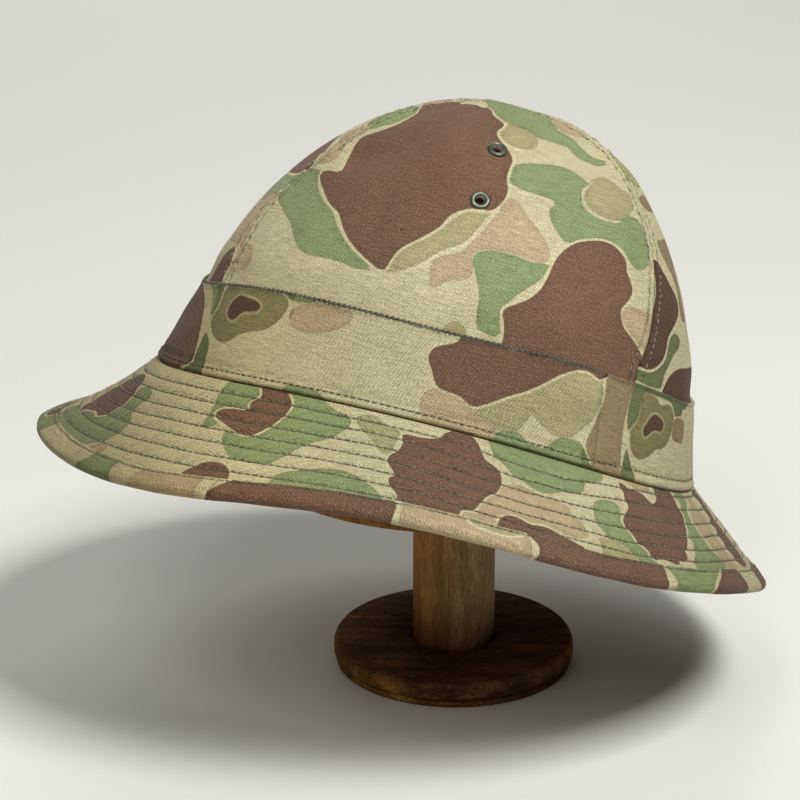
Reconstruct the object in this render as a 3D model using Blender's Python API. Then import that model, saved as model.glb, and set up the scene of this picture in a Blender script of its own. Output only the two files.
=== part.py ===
"""Safari hat of printed cotton on a turned wooden hat stand.

The hat is a thin cloth shell: four crown panels, a band round their foot, a two-ply brim and
the folded strip that binds its edge. It is drawn upright in its own frame, front toward -X,
and then laid on the stand tipped, front up and left side up, as it hangs on the real one.
Sizes are in millimetres and are turned into metres where a mesh is made.
"""
import math

import bmesh
import bpy
from mathutils import Matrix, Vector

for thing in list(bpy.data.objects):
    bpy.data.objects.remove(thing)

MM = 0.001

# Clearance left between two pieces that rest on each other.
GAP = 0.3

# Cloth: one layer on the crown and band, two plies in the brim, one in the edge strip.
CLOTH = 1.2
BRIM_PLY = 1.6
BINDING_CLOTH = 1.0
# Above the band the crown stands in this far from the drawn form, and the brim's slope starts
# this much under the opening.
CROWN_EASE = 0.4
BRIM_EASE = 0.4

# Opening of the hat, an oval measured on the outside where crown meets brim.
HALF_LENGTH = 103.0
HALF_WIDTH = 85.8
# The oval dips at front and back, and leans a little toward the back.
OVAL_DIP = 6.5
OVAL_LEAN = -2.3
# Height of the crown over that oval, to the point where its panels meet.
CROWN_HEIGHT = 115.5
# The band's top edge dips this much at front, back and sides, and rises as much between them.
BAND_TOP_DIP = 1.3

# Crown outline, one row per level: height as a share of CROWN_HEIGHT, reach to the front and
# to the back as shares of HALF_LENGTH, and half the width as a share of HALF_WIDTH.
# Row 0 is the opening, row 1 the band's top edge, row 11 the point at the top.
LEVELS = [
    # height, front, back, width
    (0.000, 1.000, 1.000, 1.000),
    (0.282, 0.895, 0.933, 0.914),
    (0.418, 0.835, 0.883, 0.859),
    (0.535, 0.767, 0.828, 0.797),
    (0.636, 0.689, 0.766, 0.727),
    (0.731, 0.600, 0.689, 0.646),
    (0.809, 0.510, 0.610, 0.564),
    (0.871, 0.413, 0.534, 0.480),
    (0.918, 0.314, 0.454, 0.392),
    (0.957, 0.207, 0.350, 0.284),
    (0.984, 0.095, 0.229, 0.165),
    (1.000, 0.000, 0.000, 0.000),
]
TOP_LEVEL = len(LEVELS) - 1
BAND_LEVEL = 1

# Where the seams between panels run, in degrees from the middle of the front and of the back,
# one row per level of the crown.
SEAMS = [
    # from front, from back
    (28.0, 44.0),
    (26.0, 42.0),
    (23.3, 38.5),
    (21.5, 33.5),
    (23.8, 29.5),
    (27.0, 25.0),
    (25.0, 21.5),
    (22.5, 18.5),
    (21.0, 17.5),
    (21.0, 17.5),
    (21.0, 18.0),
    (21.0, 20.0),
]

# Deepest dent of the resting cloth.
DENT_DEPTH = 1.6
# Dents and puckers: place as turn (0 back, 90 right, 180 front, -90 left) and level, height
# outward as a share of DENT_DEPTH, and how far each spreads.
DENTS = [
    # turn, level, height, spread in turn, spread in levels
    (-42.0, 2.2, 1.00, 7.0, 0.8),
    (-50.0, 1.5, -1.00, 8.0, 0.7),
    (-121.0, 5.6, -1.00, 13.0, 1.0),
    (-104.0, 6.2, 0.55, 9.0, 0.9),
    (-124.0, 0.6, -0.75, 8.0, 0.6),
    (-152.0, 4.9, 0.95, 7.0, 0.5),
    (42.0, 2.4, -0.90, 9.0, 0.9),
    (112.0, 5.0, -0.95, 14.0, 1.2),
    (70.0, 3.2, 0.60, 12.0, 1.2),
]

# Outer edge of the brim, binding included.
BRIM_FRONT = 142.0
BRIM_BACK = 137.9
BRIM_HALF_WIDTH = 131.3
# How far that edge hangs below the opening, on average.
BRIM_DROP = 32.1
# Height of the edge as waves round the brim, in shares of BRIM_DROP.
BRIM_EDGE_WAVES = [
    # waves, rise at the back, rise a quarter wave on
    (0, -1.000, 0.000),
    (1, 0.006, -0.056),
    (2, -0.255, -0.084),
    (3, -0.012, -0.012),
    (4, 0.037, -0.009),
    (5, -0.012, -0.040),
]
# Outward bow of the brim half way down its slope: hollow at the front, full at the back.
BRIM_BOW_FRONT = -2.1
BRIM_BOW_BACK = 0.7
# Binding: how far it reaches in over the brim.
BINDING_WIDTH = 9.0

# Turn at which the ends of the band's strip meet.
BAND_JOINT_TURN = -53.0

# Vent eyelets, two on each side panel, placed by turn from the back and level.
LOWER_EYELET_TURN = 88.0
LOWER_EYELET_LEVEL = 4.6
UPPER_EYELET_TURN = 85.5
UPPER_EYELET_LEVEL = 6.8
EYELET_RADIUS = 4.0
EYELET_HOLE_RADIUS = 2.0
EYELET_THICKNESS = 0.6

# Stand.
BASE_RADIUS = 46.3
BASE_TOP_RADIUS = 44.5
BASE_HEIGHT = 9.9
BASE_LIP_HEIGHT = 2.8
BASE_GROOVE = 0.9
POST_RADIUS = 15.7
SOCKET_GAP = 0.6
SOCKET_FLOOR = 3.0

# Pose of the hat on the stand: centre of its opening, and the turns that lay it there.
HAT_FORWARD = 9.7
HAT_HEIGHT = 105.1
HAT_TIP = math.radians(12.55)
HAT_ROLL = math.radians(-10.0)
HAT_TWIST = math.radians(-5.5)
HAT_POSE = (Matrix.Translation((-HAT_FORWARD, 0.0, HAT_HEIGHT))
            @ Matrix.Rotation(HAT_TIP, 4, "Y") @ Matrix.Rotation(HAT_ROLL, 4, "X")
            @ Matrix.Rotation(HAT_TWIST, 4, "Z"))

# Head of the stand, turned to suit the hat: it stands this far in from the opening's sides,
# and its dome starts this far under the opening's centre.
HEAD_SIDE_GAP = 7.8
HEAD_SHOULDER_DROP = 9.6
HEAD_SIDE_HEIGHT = 12.6
HEAD_EDGE_ROUND = 3.0
# Power of the dome's curve: 2 is an ellipse, less is leaner.
HEAD_CURVE = 1.8
HEAD_RADIUS = HALF_WIDTH - HEAD_SIDE_GAP
HEAD_SHOULDER_HEIGHT = HAT_HEIGHT - HEAD_SHOULDER_DROP
HEAD_FOOT_HEIGHT = HEAD_SHOULDER_HEIGHT - HEAD_SIDE_HEIGHT

# Colours, as linear values read off the photo.
KHAKI = (0.50, 0.45, 0.26)
KHAKI_SHADE = (0.42, 0.38, 0.21)
EYELET_GREEN = (0.10, 0.11, 0.08)
DARK_WOOD = (0.045, 0.022, 0.008)
POST_WOOD = (0.20, 0.115, 0.050)
HEAD_WOOD = (0.22, 0.12, 0.055)


def material(name, colour, roughness, metallic=0.0):
    """A plain surface of one colour."""
    made = bpy.data.materials.new(name)
    made.use_nodes = True
    shader = made.node_tree.nodes["Principled BSDF"]
    shader.inputs["Base Color"].default_value = (*colour, 1.0)
    shader.inputs["Roughness"].default_value = roughness
    shader.inputs["Metallic"].default_value = metallic
    return made


def finish(name, mesh, surface, smooth, pose=None):
    """Turn a bmesh drawn in millimetres into a named object in metres."""
    if pose is not None:
        mesh.transform(pose)
    mesh.transform(Matrix.Scale(MM, 4))
    bmesh.ops.recalc_face_normals(mesh, faces=mesh.faces)
    data = bpy.data.meshes.new(name)
    mesh.to_mesh(data)
    mesh.free()
    data.materials.append(surface)
    if smooth:
        data.polygons.foreach_set("use_smooth", [True] * len(data.polygons))
    thing = bpy.data.objects.new(name, data)
    bpy.context.scene.collection.objects.link(thing)
    return thing


def between(values, place):
    """Value at a fractional row number, on a smooth curve through the rows with no overshoot."""
    last = len(values) - 1
    row = min(int(place), last - 1)
    part = place - row
    steps = [values[i + 1] - values[i] for i in range(last)]

    def slope(at):
        if at == 0 or at == last:
            return steps[0] if at == 0 else steps[-1]
        before, after = steps[at - 1], steps[at]
        return 0.0 if before * after <= 0 else 2 * before * after / (before + after)

    low, high = values[row], values[row + 1]
    rise, fall = slope(row), slope(row + 1)
    return (low * (1 + 2 * part) * (1 - part) ** 2 + high * part ** 2 * (3 - 2 * part)
            + rise * part * (1 - part) ** 2 - fall * part ** 2 * (1 - part))


def column(table, place):
    """The values in one column of a table."""
    return [row[place] for row in table]


def angle_apart(first, second):
    """Smallest turn between two directions, in degrees."""
    return abs((first - second + 180.0) % 360.0 - 180.0)


def plain_crown_point(turn, level):
    """Outside of the crown before any dent, at a turn in degrees and a fractional level."""
    height = between(column(LEVELS, 0), level) * CROWN_HEIGHT
    front = between(column(LEVELS, 1), level) * HALF_LENGTH
    back = between(column(LEVELS, 2), level) * HALF_LENGTH
    side = between(column(LEVELS, 3), level) * HALF_WIDTH
    angle = math.radians(turn)
    band_height = LEVELS[BAND_LEVEL][0] * CROWN_HEIGHT
    fade = min(1.0, (CROWN_HEIGHT - height) / (CROWN_HEIGHT - band_height))
    wave = -BAND_TOP_DIP * (level if level < BAND_LEVEL else fade ** 3)
    along = math.cos(angle) * (back if math.cos(angle) > 0 else front)
    lift = (-OVAL_DIP * math.cos(2 * angle) + OVAL_LEAN * math.cos(angle)) * fade
    return Vector((along, side * math.sin(angle), height + lift + wave * math.cos(4 * angle)))


def crown_point(turn, level, inset=0.0):
    """A point of the crown, the dents included, moved in from the outside by inset."""
    here = plain_crown_point(turn, level)
    if level > TOP_LEVEL - 0.02:
        return here - Vector((0, 0, inset))
    step = 0.05
    round_it = plain_crown_point(turn + step, level) - plain_crown_point(turn - step, level)
    up_it = plain_crown_point(turn, level + 0.01) - plain_crown_point(turn, max(level - 0.01, 0.0))
    outward = round_it.cross(up_it).normalized()
    push = -inset
    for dent_turn, dent_level, height, turn_spread, level_spread in DENTS:
        away = (angle_apart(turn, dent_turn) / turn_spread) ** 2
        away += ((level - dent_level) / level_spread) ** 2
        push += height * DENT_DEPTH * math.exp(-away)
    return here + outward * push


def seam_turn(level, which):
    """Angle of a seam from the middle of the front (0) or of the back (1) at a level."""
    return between(column(SEAMS, which), level)


def crown_inset(level):
    """How far the crown's outside stands in from the drawn form: room for the band below."""
    under_band = CLOTH + GAP
    share = min(max((level - BAND_LEVEL) / 0.7, 0.0), 1.0)
    share = share * share * (3 - 2 * share)
    return under_band + (CROWN_EASE - under_band) * share


def close_shell(mesh, outer, inner, ring):
    """Join two matching grids of points into one closed wall, and give back its points."""
    rows, columns = len(outer), len(outer[0])
    skins = [[[mesh.verts.new(point) for point in row] for row in skin] for skin in (outer, inner)]
    last = columns if ring else columns - 1
    for skin in skins:
        for i in range(rows - 1):
            for j in range(last):
                k = (j + 1) % columns
                mesh.faces.new((skin[i][j], skin[i][k], skin[i + 1][k], skin[i + 1][j]))
    front, back = skins
    for i in (0, rows - 1):
        for j in range(last):
            k = (j + 1) % columns
            mesh.faces.new((front[i][j], front[i][k], back[i][k], back[i][j]))
    if not ring:
        for i in range(rows - 1):
            for j in (0, columns - 1):
                mesh.faces.new((front[i][j], front[i + 1][j], back[i + 1][j], back[i][j]))
    return skins


# Crown panels
# Each is a grid of points between two seams, closed into a wall one cloth thick. Its side
# edges stand half a gap back from the seams, and its last row is a single point at the top.
# The middle column of a side panel runs through its two eyelets, which lie on rows.
PANEL_LEVELS = [0.0, 0.5, 1.0, 1.35, 1.8, 2.4, 3.1, 3.8, LOWER_EYELET_LEVEL, 5.4, 6.1,
                UPPER_EYELET_LEVEL, 7.6, 8.5, 9.4, 10.4]
TIP_LEVEL = 10.96
BARREL_RADIUS = EYELET_HOLE_RADIUS + EYELET_THICKNESS


def eyelet_line(level):
    """Turn from the back, at a level, of the line through both eyelets of a side panel."""
    share = (level - LOWER_EYELET_LEVEL) / (UPPER_EYELET_LEVEL - LOWER_EYELET_LEVEL)
    return LOWER_EYELET_TURN + share * (UPPER_EYELET_TURN - LOWER_EYELET_TURN)


def eyelet_frame(turn, level):
    """Frame on the crown's outside: X round the crown, Y up it and Z out of the cloth."""
    here = crown_point(turn, level, crown_inset(level))
    out = (here - crown_point(turn, level, crown_inset(level) + 1.0)).normalized()
    beside = crown_point(turn + 0.5, level) - crown_point(turn - 0.5, level)
    up = out.cross(beside).normalized()
    turns = Matrix((up.cross(out), up, out)).transposed().to_4x4()
    return Matrix.Translation(here) @ turns


def open_vent(mesh, skins, row, column, frame):
    """Open an eight-sided hole for an eyelet's barrel round one point of the panel's grid."""
    neighbours = [(0, 1), (1, 1), (1, 0), (1, -1), (0, -1), (-1, -1), (-1, 0), (-1, 1)]
    sides = len(neighbours)
    radius = (BARREL_RADIUS + GAP) / math.cos(math.pi / sides)
    rims = []
    for skin, depth in zip(skins, (0.0, -CLOTH)):
        bmesh.ops.delete(mesh, geom=[skin[row][column]], context="VERTS")
        rim = []
        for k in range(sides):
            angle = 2 * math.pi * k / sides
            place = Vector((radius * math.cos(angle), radius * math.sin(angle), depth))
            rim.append(mesh.verts.new(frame @ place))
        border = [skin[row + up][column + across] for up, across in neighbours]
        for k in range(sides):
            n = (k + 1) % sides
            mesh.faces.new((border[k], border[n], rim[n], rim[k]))
        rims.append(rim)
    for k in range(sides):
        n = (k + 1) % sides
        mesh.faces.new((rims[0][k], rims[0][n], rims[1][n], rims[1][k]))


def panel_row(level, start, middle, end, count, inset):
    """Points across a panel at one level, from seam to seam, the middle one at its own turn."""
    reach = []
    for turn in (start, end):
        beside = crown_point(turn + 0.5, level) - crown_point(turn - 0.5, level)
        reach.append(0.5 * GAP / beside.length)
    first, final = start + reach[0], end - reach[1]
    row = []
    for i in range(count):
        share = 2 * i / (count - 1)
        if share < 1:
            turn = first + (middle - first) * share
        else:
            turn = middle + (final - middle) * (share - 1)
        row.append(crown_point(turn, level, inset))
    return row


def crown_panel(name, edges, count, surface, side=0):
    """One panel; edges gives the turns of its two seams at a level. A side panel has side set
    to -1 or 1 and gets the holes for its eyelets."""
    outer, inner = [], []
    for level in PANEL_LEVELS:
        start, end = edges(level)
        middle = side * eyelet_line(level) if side else (start + end) / 2
        inset = crown_inset(level)
        outer.append(panel_row(level, start, middle, end, count, inset))
        inner.append(panel_row(level, start, middle, end, count, inset + CLOTH))
    middle = sum(edges(TIP_LEVEL)) / 2
    tip_inset = crown_inset(TIP_LEVEL)
    outer.append([crown_point(middle, TIP_LEVEL, tip_inset)] * count)
    inner.append([crown_point(middle, TIP_LEVEL, tip_inset + CLOTH)] * count)
    mesh = bmesh.new()
    skins = close_shell(mesh, outer, inner, False)
    if side:
        for level in (LOWER_EYELET_LEVEL, UPPER_EYELET_LEVEL):
            frame = eyelet_frame(side * eyelet_line(level), level)
            open_vent(mesh, skins, PANEL_LEVELS.index(level), count // 2, frame)
    bmesh.ops.remove_doubles(mesh, verts=mesh.verts, dist=0.001)
    return finish(name, mesh, surface, True, HAT_POSE)


cloth = material("printed_cotton", KHAKI, 0.9)
band_cloth = material("printed_cotton_band", KHAKI_SHADE, 0.9)

crown_panel(
    "crown_panel_left",
    lambda level: (-180.0 + seam_turn(level, 0), -seam_turn(level, 1)), 19, cloth, -1)
crown_panel(
    "crown_panel_right",
    lambda level: (seam_turn(level, 1), 180.0 - seam_turn(level, 0)), 19, cloth, 1)
crown_panel(
    "crown_panel_front",
    lambda level: (180.0 - seam_turn(level, 0), 180.0 + seam_turn(level, 0)), 8, cloth)
crown_panel(
    "crown_panel_back",
    lambda level: (-seam_turn(level, 1), seam_turn(level, 1)), 10, cloth)

# Band
# One strip round the crown's foot, its ends a gap apart at the joint.
BAND_COLUMNS = 56
BAND_ROWS = [0.0, 0.35, 0.7, 1.0]


def band_row(level, inset):
    """Points round the band at one level, from one end of the strip to the other."""
    beside = crown_point(BAND_JOINT_TURN + 0.5, level) - crown_point(BAND_JOINT_TURN - 0.5, level)
    start = BAND_JOINT_TURN + 0.5 * GAP / beside.length
    end = BAND_JOINT_TURN + 360.0 - 0.5 * GAP / beside.length
    turns = [start + (end - start) * i / (BAND_COLUMNS - 1) for i in range(BAND_COLUMNS)]
    return [crown_point(turn, level, inset) for turn in turns]


band_mesh = bmesh.new()
close_shell(band_mesh, [band_row(level, 0.0) for level in BAND_ROWS],
            [band_row(level, CLOTH) for level in BAND_ROWS], False)
finish("hat_band", band_mesh, band_cloth, True, HAT_POSE)

# Brim
# It starts flat under the bottom edges of crown and band, then falls to the edge. The drawn
# edge is the outside of the binding, so the plies stop short of it.
BRIM_COLUMNS = 60
BRIM_STEPS = [0.0, 0.2, 0.4, 0.6, 0.8, 1.0]
BRIM_SHORT = BINDING_CLOTH + GAP


def brim_edge_point(turn):
    """Outermost point of the brim, binding included."""
    angle = math.radians(turn)
    along = math.cos(angle) * (BRIM_BACK if math.cos(angle) > 0 else BRIM_FRONT)
    share = sum(even * math.cos(waves * angle) + odd * math.sin(waves * angle)
                for waves, even, odd in BRIM_EDGE_WAVES)
    return Vector((along, BRIM_HALF_WIDTH * math.sin(angle), share * BRIM_DROP))


def brim_axes(turn):
    """Foot of the brim's slope, its edge, the way down the slope and the upward normal."""
    foot = plain_crown_point(turn, 0.0) - Vector((0, 0, GAP + BRIM_EASE))
    edge = brim_edge_point(turn)
    down = (edge - foot).normalized()
    beside = brim_edge_point(turn + 0.5) - brim_edge_point(turn - 0.5)
    beside += plain_crown_point(turn + 0.5, 0.0) - plain_crown_point(turn - 0.5, 0.0)
    return foot, edge, down, down.cross(beside).normalized()


def brim_point(turn, step, depth):
    """A point of the brim, a share of the way down its slope and depth below its top."""
    foot, edge, down, up = brim_axes(turn)
    length = (edge - foot).length - BRIM_SHORT
    backward = 0.5 * (1 + math.cos(math.radians(turn)))
    bow = BRIM_BOW_BACK * backward + BRIM_BOW_FRONT * (1 - backward)
    bow *= math.sin(math.pi * step)
    return foot + down * (length * step) + up * (bow - depth)


def brim_row(step, depth):
    """Points round the brim at one step down its slope."""
    turns = [360.0 * i / BRIM_COLUMNS for i in range(BRIM_COLUMNS)]
    return [brim_point(turn, step, depth) for turn in turns]


def brim_collar(depth):
    """Inner edge of the brim, flat under the bottom edges of crown and band."""
    row = []
    for i in range(BRIM_COLUMNS):
        turn = 360.0 * i / BRIM_COLUMNS
        rim = crown_point(turn, 0.0, 2 * CLOTH + GAP)
        row.append(rim - Vector((0, 0, GAP + depth)))
    return row


brim_mesh = bmesh.new()
close_shell(brim_mesh,
            [brim_collar(0.0)] + [brim_row(step, 0.0) for step in BRIM_STEPS],
            [brim_collar(BRIM_PLY)] + [brim_row(step, BRIM_PLY) for step in BRIM_STEPS], True)
finish("brim", brim_mesh, cloth, True, HAT_POSE)

# Binding
# A folded strip: this section is swept round the edge. Its own axes are the way down the
# brim's slope, measured from the outermost point, and the brim's normal from its middle.
INSIDE = BRIM_PLY / 2 + GAP
OUTSIDE = INSIDE + BINDING_CLOTH
BINDING_SECTION = [
    # down the slope, along the normal
    (-BINDING_WIDTH, OUTSIDE),
    (-OUTSIDE, OUTSIDE),
    (-OUTSIDE * 0.30, OUTSIDE * 0.72),
    (0.0, 0.0),
    (-OUTSIDE * 0.30, -OUTSIDE * 0.72),
    (-OUTSIDE, -OUTSIDE),
    (-BINDING_WIDTH, -OUTSIDE),
    (-BINDING_WIDTH, -INSIDE),
    (-BINDING_CLOTH, -INSIDE),
    (-BINDING_CLOTH, INSIDE),
    (-BINDING_WIDTH, INSIDE),
]


def binding_loop(turn):
    """The binding's section at one turn, following the bow of the brim."""
    foot, edge, down, up = brim_axes(turn)
    whole = (edge - foot).length - BRIM_SHORT
    loop = []
    for along, out in BINDING_SECTION:
        step = min(1.0, (whole + BRIM_SHORT + along) / whole)
        middle = brim_point(turn, step, BRIM_PLY / 2)
        past = max(0.0, BRIM_SHORT + along)
        loop.append(middle + down * past + up * out)
    return loop


binding_mesh = bmesh.new()
loops = []
for i in range(BRIM_COLUMNS):
    loops.append([binding_mesh.verts.new(p) for p in binding_loop(360.0 * i / BRIM_COLUMNS)])
sides = len(BINDING_SECTION)
for i in range(BRIM_COLUMNS):
    here, there = loops[i], loops[(i + 1) % BRIM_COLUMNS]
    for j in range(sides):
        k = (j + 1) % sides
        binding_mesh.faces.new((here[j], here[k], there[k], there[j]))
finish("brim_binding", binding_mesh, band_cloth, True, HAT_POSE)


def turned(name, profile, segments, surface, pose=None):
    """A lathe-turned solid from (radius, height) points; the first and last lie on the axis."""
    mesh = bmesh.new()
    rings = []
    for radius, height in profile:
        if radius == 0:
            rings.append([mesh.verts.new((0, 0, height))])
            continue
        ring = []
        for i in range(segments):
            angle = 2 * math.pi * i / segments
            ring.append(mesh.verts.new((radius * math.cos(angle), radius * math.sin(angle), height)))
        rings.append(ring)
    for lower, upper in zip(rings, rings[1:]):
        for i in range(segments):
            k = (i + 1) % segments
            if len(lower) == 1:
                mesh.faces.new((lower[0], upper[i], upper[k]))
            elif len(upper) == 1:
                mesh.faces.new((lower[i], lower[k], upper[0]))
            else:
                mesh.faces.new((lower[i], lower[k], upper[k], upper[i]))
    return finish(name, mesh, surface, True, pose)


def turned_ring(name, profile, segments, surface, pose):
    """A lathe-turned ring: the profile is a closed loop that stays clear of the axis."""
    mesh = bmesh.new()
    rings = []
    for i in range(segments):
        angle = 2 * math.pi * i / segments
        rings.append([mesh.verts.new((radius * math.cos(angle), radius * math.sin(angle), height))
                      for radius, height in profile])
    for i in range(segments):
        here, there = rings[i], rings[(i + 1) % segments]
        for j in range(len(profile)):
            k = (j + 1) % len(profile)
            mesh.faces.new((here[j], here[k], there[k], there[j]))
    return finish(name, mesh, surface, True, pose)


# Eyelets
# Each is a metal ring whose flanges hold the panel's cloth from both sides. Its barrel goes
# through the hole in the panel.
FLANGE_GAP = GAP + 0.1
EYELET_PROFILE = [
    # radius, height over the panel's outside
    (EYELET_HOLE_RADIUS, -CLOTH - FLANGE_GAP - EYELET_THICKNESS),
    (EYELET_RADIUS - 0.4, -CLOTH - FLANGE_GAP - EYELET_THICKNESS),
    (EYELET_RADIUS - 0.4, -CLOTH - FLANGE_GAP),
    (BARREL_RADIUS, -CLOTH - FLANGE_GAP),
    (BARREL_RADIUS, FLANGE_GAP),
    (EYELET_RADIUS, FLANGE_GAP),
    (EYELET_RADIUS - 0.3, FLANGE_GAP + EYELET_THICKNESS * 0.8),
    (EYELET_RADIUS - 1.0, FLANGE_GAP + EYELET_THICKNESS),
    (EYELET_HOLE_RADIUS + 0.3, FLANGE_GAP + EYELET_THICKNESS * 0.8),
    (EYELET_HOLE_RADIUS, FLANGE_GAP),
]
metal = material("eyelet_metal", EYELET_GREEN, 0.35, 0.6)

for side, sign in (("left", -1), ("right", 1)):
    for place, level in (("lower", LOWER_EYELET_LEVEL), ("upper", UPPER_EYELET_LEVEL)):
        frame = eyelet_frame(sign * eyelet_line(level), level)
        turned_ring(f"eyelet_{side}_{place}", EYELET_PROFILE, 14, metal, HAT_POSE @ frame)

# Stand
# Foot, post and head are turned from wood on one upright axis.
base_wood = material("dark_wood", DARK_WOOD, 0.45)
post_wood = material("post_wood", POST_WOOD, 0.55)
head_wood = material("head_wood", HEAD_WOOD, 0.5)
SOCKET_RADIUS = POST_RADIUS + SOCKET_GAP

BASE_PROFILE = [
    # radius, height
    (0.0, 0.0),
    (BASE_RADIUS - 1.8, 0.0),
    (BASE_RADIUS - 0.9, 0.8),
    (BASE_RADIUS - 0.9, BASE_LIP_HEIGHT - 0.4),
    (BASE_RADIUS - 0.9 - BASE_GROOVE, BASE_LIP_HEIGHT),
    (BASE_RADIUS - 0.3, BASE_LIP_HEIGHT + 0.6),
    (BASE_RADIUS, BASE_LIP_HEIGHT + 1.5),
    (BASE_RADIUS, BASE_HEIGHT - 3.8),
    (BASE_RADIUS - 0.3, BASE_HEIGHT - 2.0),
    (BASE_RADIUS - 0.9, BASE_HEIGHT - 0.7),
    (BASE_TOP_RADIUS, BASE_HEIGHT),
    (SOCKET_RADIUS, BASE_HEIGHT),
    (SOCKET_RADIUS, SOCKET_FLOOR),
    (0.0, SOCKET_FLOOR),
]
turned("stand_base", BASE_PROFILE, 48, base_wood)

POST_FOOT = SOCKET_FLOOR + GAP
POST_TOP = HEAD_FOOT_HEIGHT - GAP
turned("stand_post", [(0.0, POST_FOOT), (POST_RADIUS - 0.5, POST_FOOT),
                      (POST_RADIUS, POST_FOOT + 0.5), (POST_RADIUS, POST_TOP), (0.0, POST_TOP)],
       32, post_wood)


# Head
# A dome whose top is raised until it comes within a gap of the crown's inside.
def dome_radius(height, top):
    """Radius of the dome at a height, for a given height of its top."""
    if height <= HEAD_SHOULDER_HEIGHT:
        return HEAD_RADIUS
    share = (height - HEAD_SHOULDER_HEIGHT) / (top - HEAD_SHOULDER_HEIGHT)
    if share >= 1.0:
        return 0.0
    return HEAD_RADIUS * (1 - share ** HEAD_CURVE) ** (1 / HEAD_CURVE)


def dome_levels(top):
    """Heights at which the dome's profile is drawn, closer together near the top."""
    steps = 14
    return [HEAD_SHOULDER_HEIGHT + (top - HEAD_SHOULDER_HEIGHT) * math.sin(math.pi / 2 * i / steps)
            for i in range(steps + 1)]


def clearance(top, lining):
    """Smallest distance from the dome's profile to points (radius, height) of the crown."""
    levels = dome_levels(top)
    profile = [(dome_radius(height, top), height) for height in levels]
    profile[-1] = (0.0, top)
    least = 1000.0
    for radius, height in lining:
        if radius <= dome_radius(height, top):
            return -1.0
        for (r0, z0), (r1, z1) in zip(profile, profile[1:]):
            run, rise = r1 - r0, z1 - z0
            share = ((radius - r0) * run + (height - z0) * rise) / (run * run + rise * rise)
            share = min(max(share, 0.0), 1.0)
            least = min(least, math.hypot(radius - r0 - run * share, height - z0 - rise * share))
    return least


lining = []
for i in range(120):
    for j in range(2, 54):
        level = j * 0.2
        point = HAT_POSE @ crown_point(3.0 * i, level, crown_inset(level) + CLOTH)
        lining.append((math.hypot(point.x, point.y), point.z))

low_top, high_top = HEAD_SHOULDER_HEIGHT, HAT_HEIGHT + CROWN_HEIGHT
for _ in range(18):
    middle_top = (low_top + high_top) / 2
    if clearance(middle_top, lining) > GAP + 0.1:
        low_top = middle_top
    else:
        high_top = middle_top
HEAD_TOP = low_top

head_profile = [(0.0, HEAD_FOOT_HEIGHT), (HEAD_RADIUS - HEAD_EDGE_ROUND, HEAD_FOOT_HEIGHT),
                (HEAD_RADIUS - 0.3 * HEAD_EDGE_ROUND, HEAD_FOOT_HEIGHT + 0.3 * HEAD_EDGE_ROUND),
                (HEAD_RADIUS, HEAD_FOOT_HEIGHT + HEAD_EDGE_ROUND)]
head_profile += [(dome_radius(height, HEAD_TOP), height) for height in dome_levels(HEAD_TOP)[:-1]]
head_profile += [(0.0, HEAD_TOP)]
turned("stand_head", head_profile, 48, head_wood)
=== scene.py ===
import math

import bmesh
import bpy
import numpy as np
from mathutils import Matrix, Vector


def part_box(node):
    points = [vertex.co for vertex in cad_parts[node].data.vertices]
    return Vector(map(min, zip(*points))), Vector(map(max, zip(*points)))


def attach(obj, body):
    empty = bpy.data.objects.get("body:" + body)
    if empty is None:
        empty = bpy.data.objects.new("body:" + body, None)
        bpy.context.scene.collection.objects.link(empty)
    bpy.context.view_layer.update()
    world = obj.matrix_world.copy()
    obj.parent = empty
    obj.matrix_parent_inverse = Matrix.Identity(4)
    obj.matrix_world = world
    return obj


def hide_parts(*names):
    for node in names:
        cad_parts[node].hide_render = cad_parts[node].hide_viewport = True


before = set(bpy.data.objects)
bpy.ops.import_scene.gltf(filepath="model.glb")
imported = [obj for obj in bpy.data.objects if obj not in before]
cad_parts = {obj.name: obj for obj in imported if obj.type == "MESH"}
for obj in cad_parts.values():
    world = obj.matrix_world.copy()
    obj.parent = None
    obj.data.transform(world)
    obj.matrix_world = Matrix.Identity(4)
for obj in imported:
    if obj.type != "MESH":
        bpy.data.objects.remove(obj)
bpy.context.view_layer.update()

# The room: a wide pale table top. A soft lamp stands high at the right front, a weaker one high
# at the left front and a large one behind, and the camera is where the photograph's was.
MM = 0.001
CAMERA_PLACE = (-0.02073, -0.950, 0.44624)
CAMERA_TILT = math.radians(70.28)
CAMERA_SENSOR = 36.0
CAMERA_LENS = 120.99
TABLE_HALF = 5.0
TABLE_PALE = (0.715, 0.728, 0.69, 1.0)
DAYLIGHT = (1.0, 0.985, 0.95)
SKY = (1.0, 0.98, 0.93, 1.0)
SKY_STRENGTH = 0.05
LAMPS = [
    # name, place, point aimed at, side in metres, watts
    ("key_lamp", (0.70, -0.73, 1.70), (0.0, 0.0, 0.05), 0.60, 36.5),
    ("fill_lamp", (-0.70, -1.25, 1.60), (0.0, 0.0, 0.12), 0.90, 11.0),
    ("back_lamp", (-0.20, 2.20, 1.60), (0.0, 0.2, 0.00), 2.20, 34.0),
]

camera = bpy.data.objects.new("camera", bpy.data.cameras.new("camera"))
camera.data.sensor_width = CAMERA_SENSOR
camera.data.lens = CAMERA_LENS
camera.location = CAMERA_PLACE
camera.rotation_euler = (CAMERA_TILT, 0.0, 0.0)
bpy.context.scene.collection.objects.link(camera)
bpy.context.scene.camera = camera
bpy.context.scene.view_settings.view_transform = "Standard"

for name, place, aim, side, power in LAMPS:
    lamp = bpy.data.objects.new(name, bpy.data.lights.new(name, "AREA"))
    lamp.data.size = side
    lamp.data.energy = power
    lamp.data.color = DAYLIGHT
    lamp.location = place
    lamp.rotation_euler = (Vector(aim) - Vector(place)).to_track_quat("-Z", "Y").to_euler()
    bpy.context.scene.collection.objects.link(lamp)

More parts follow.
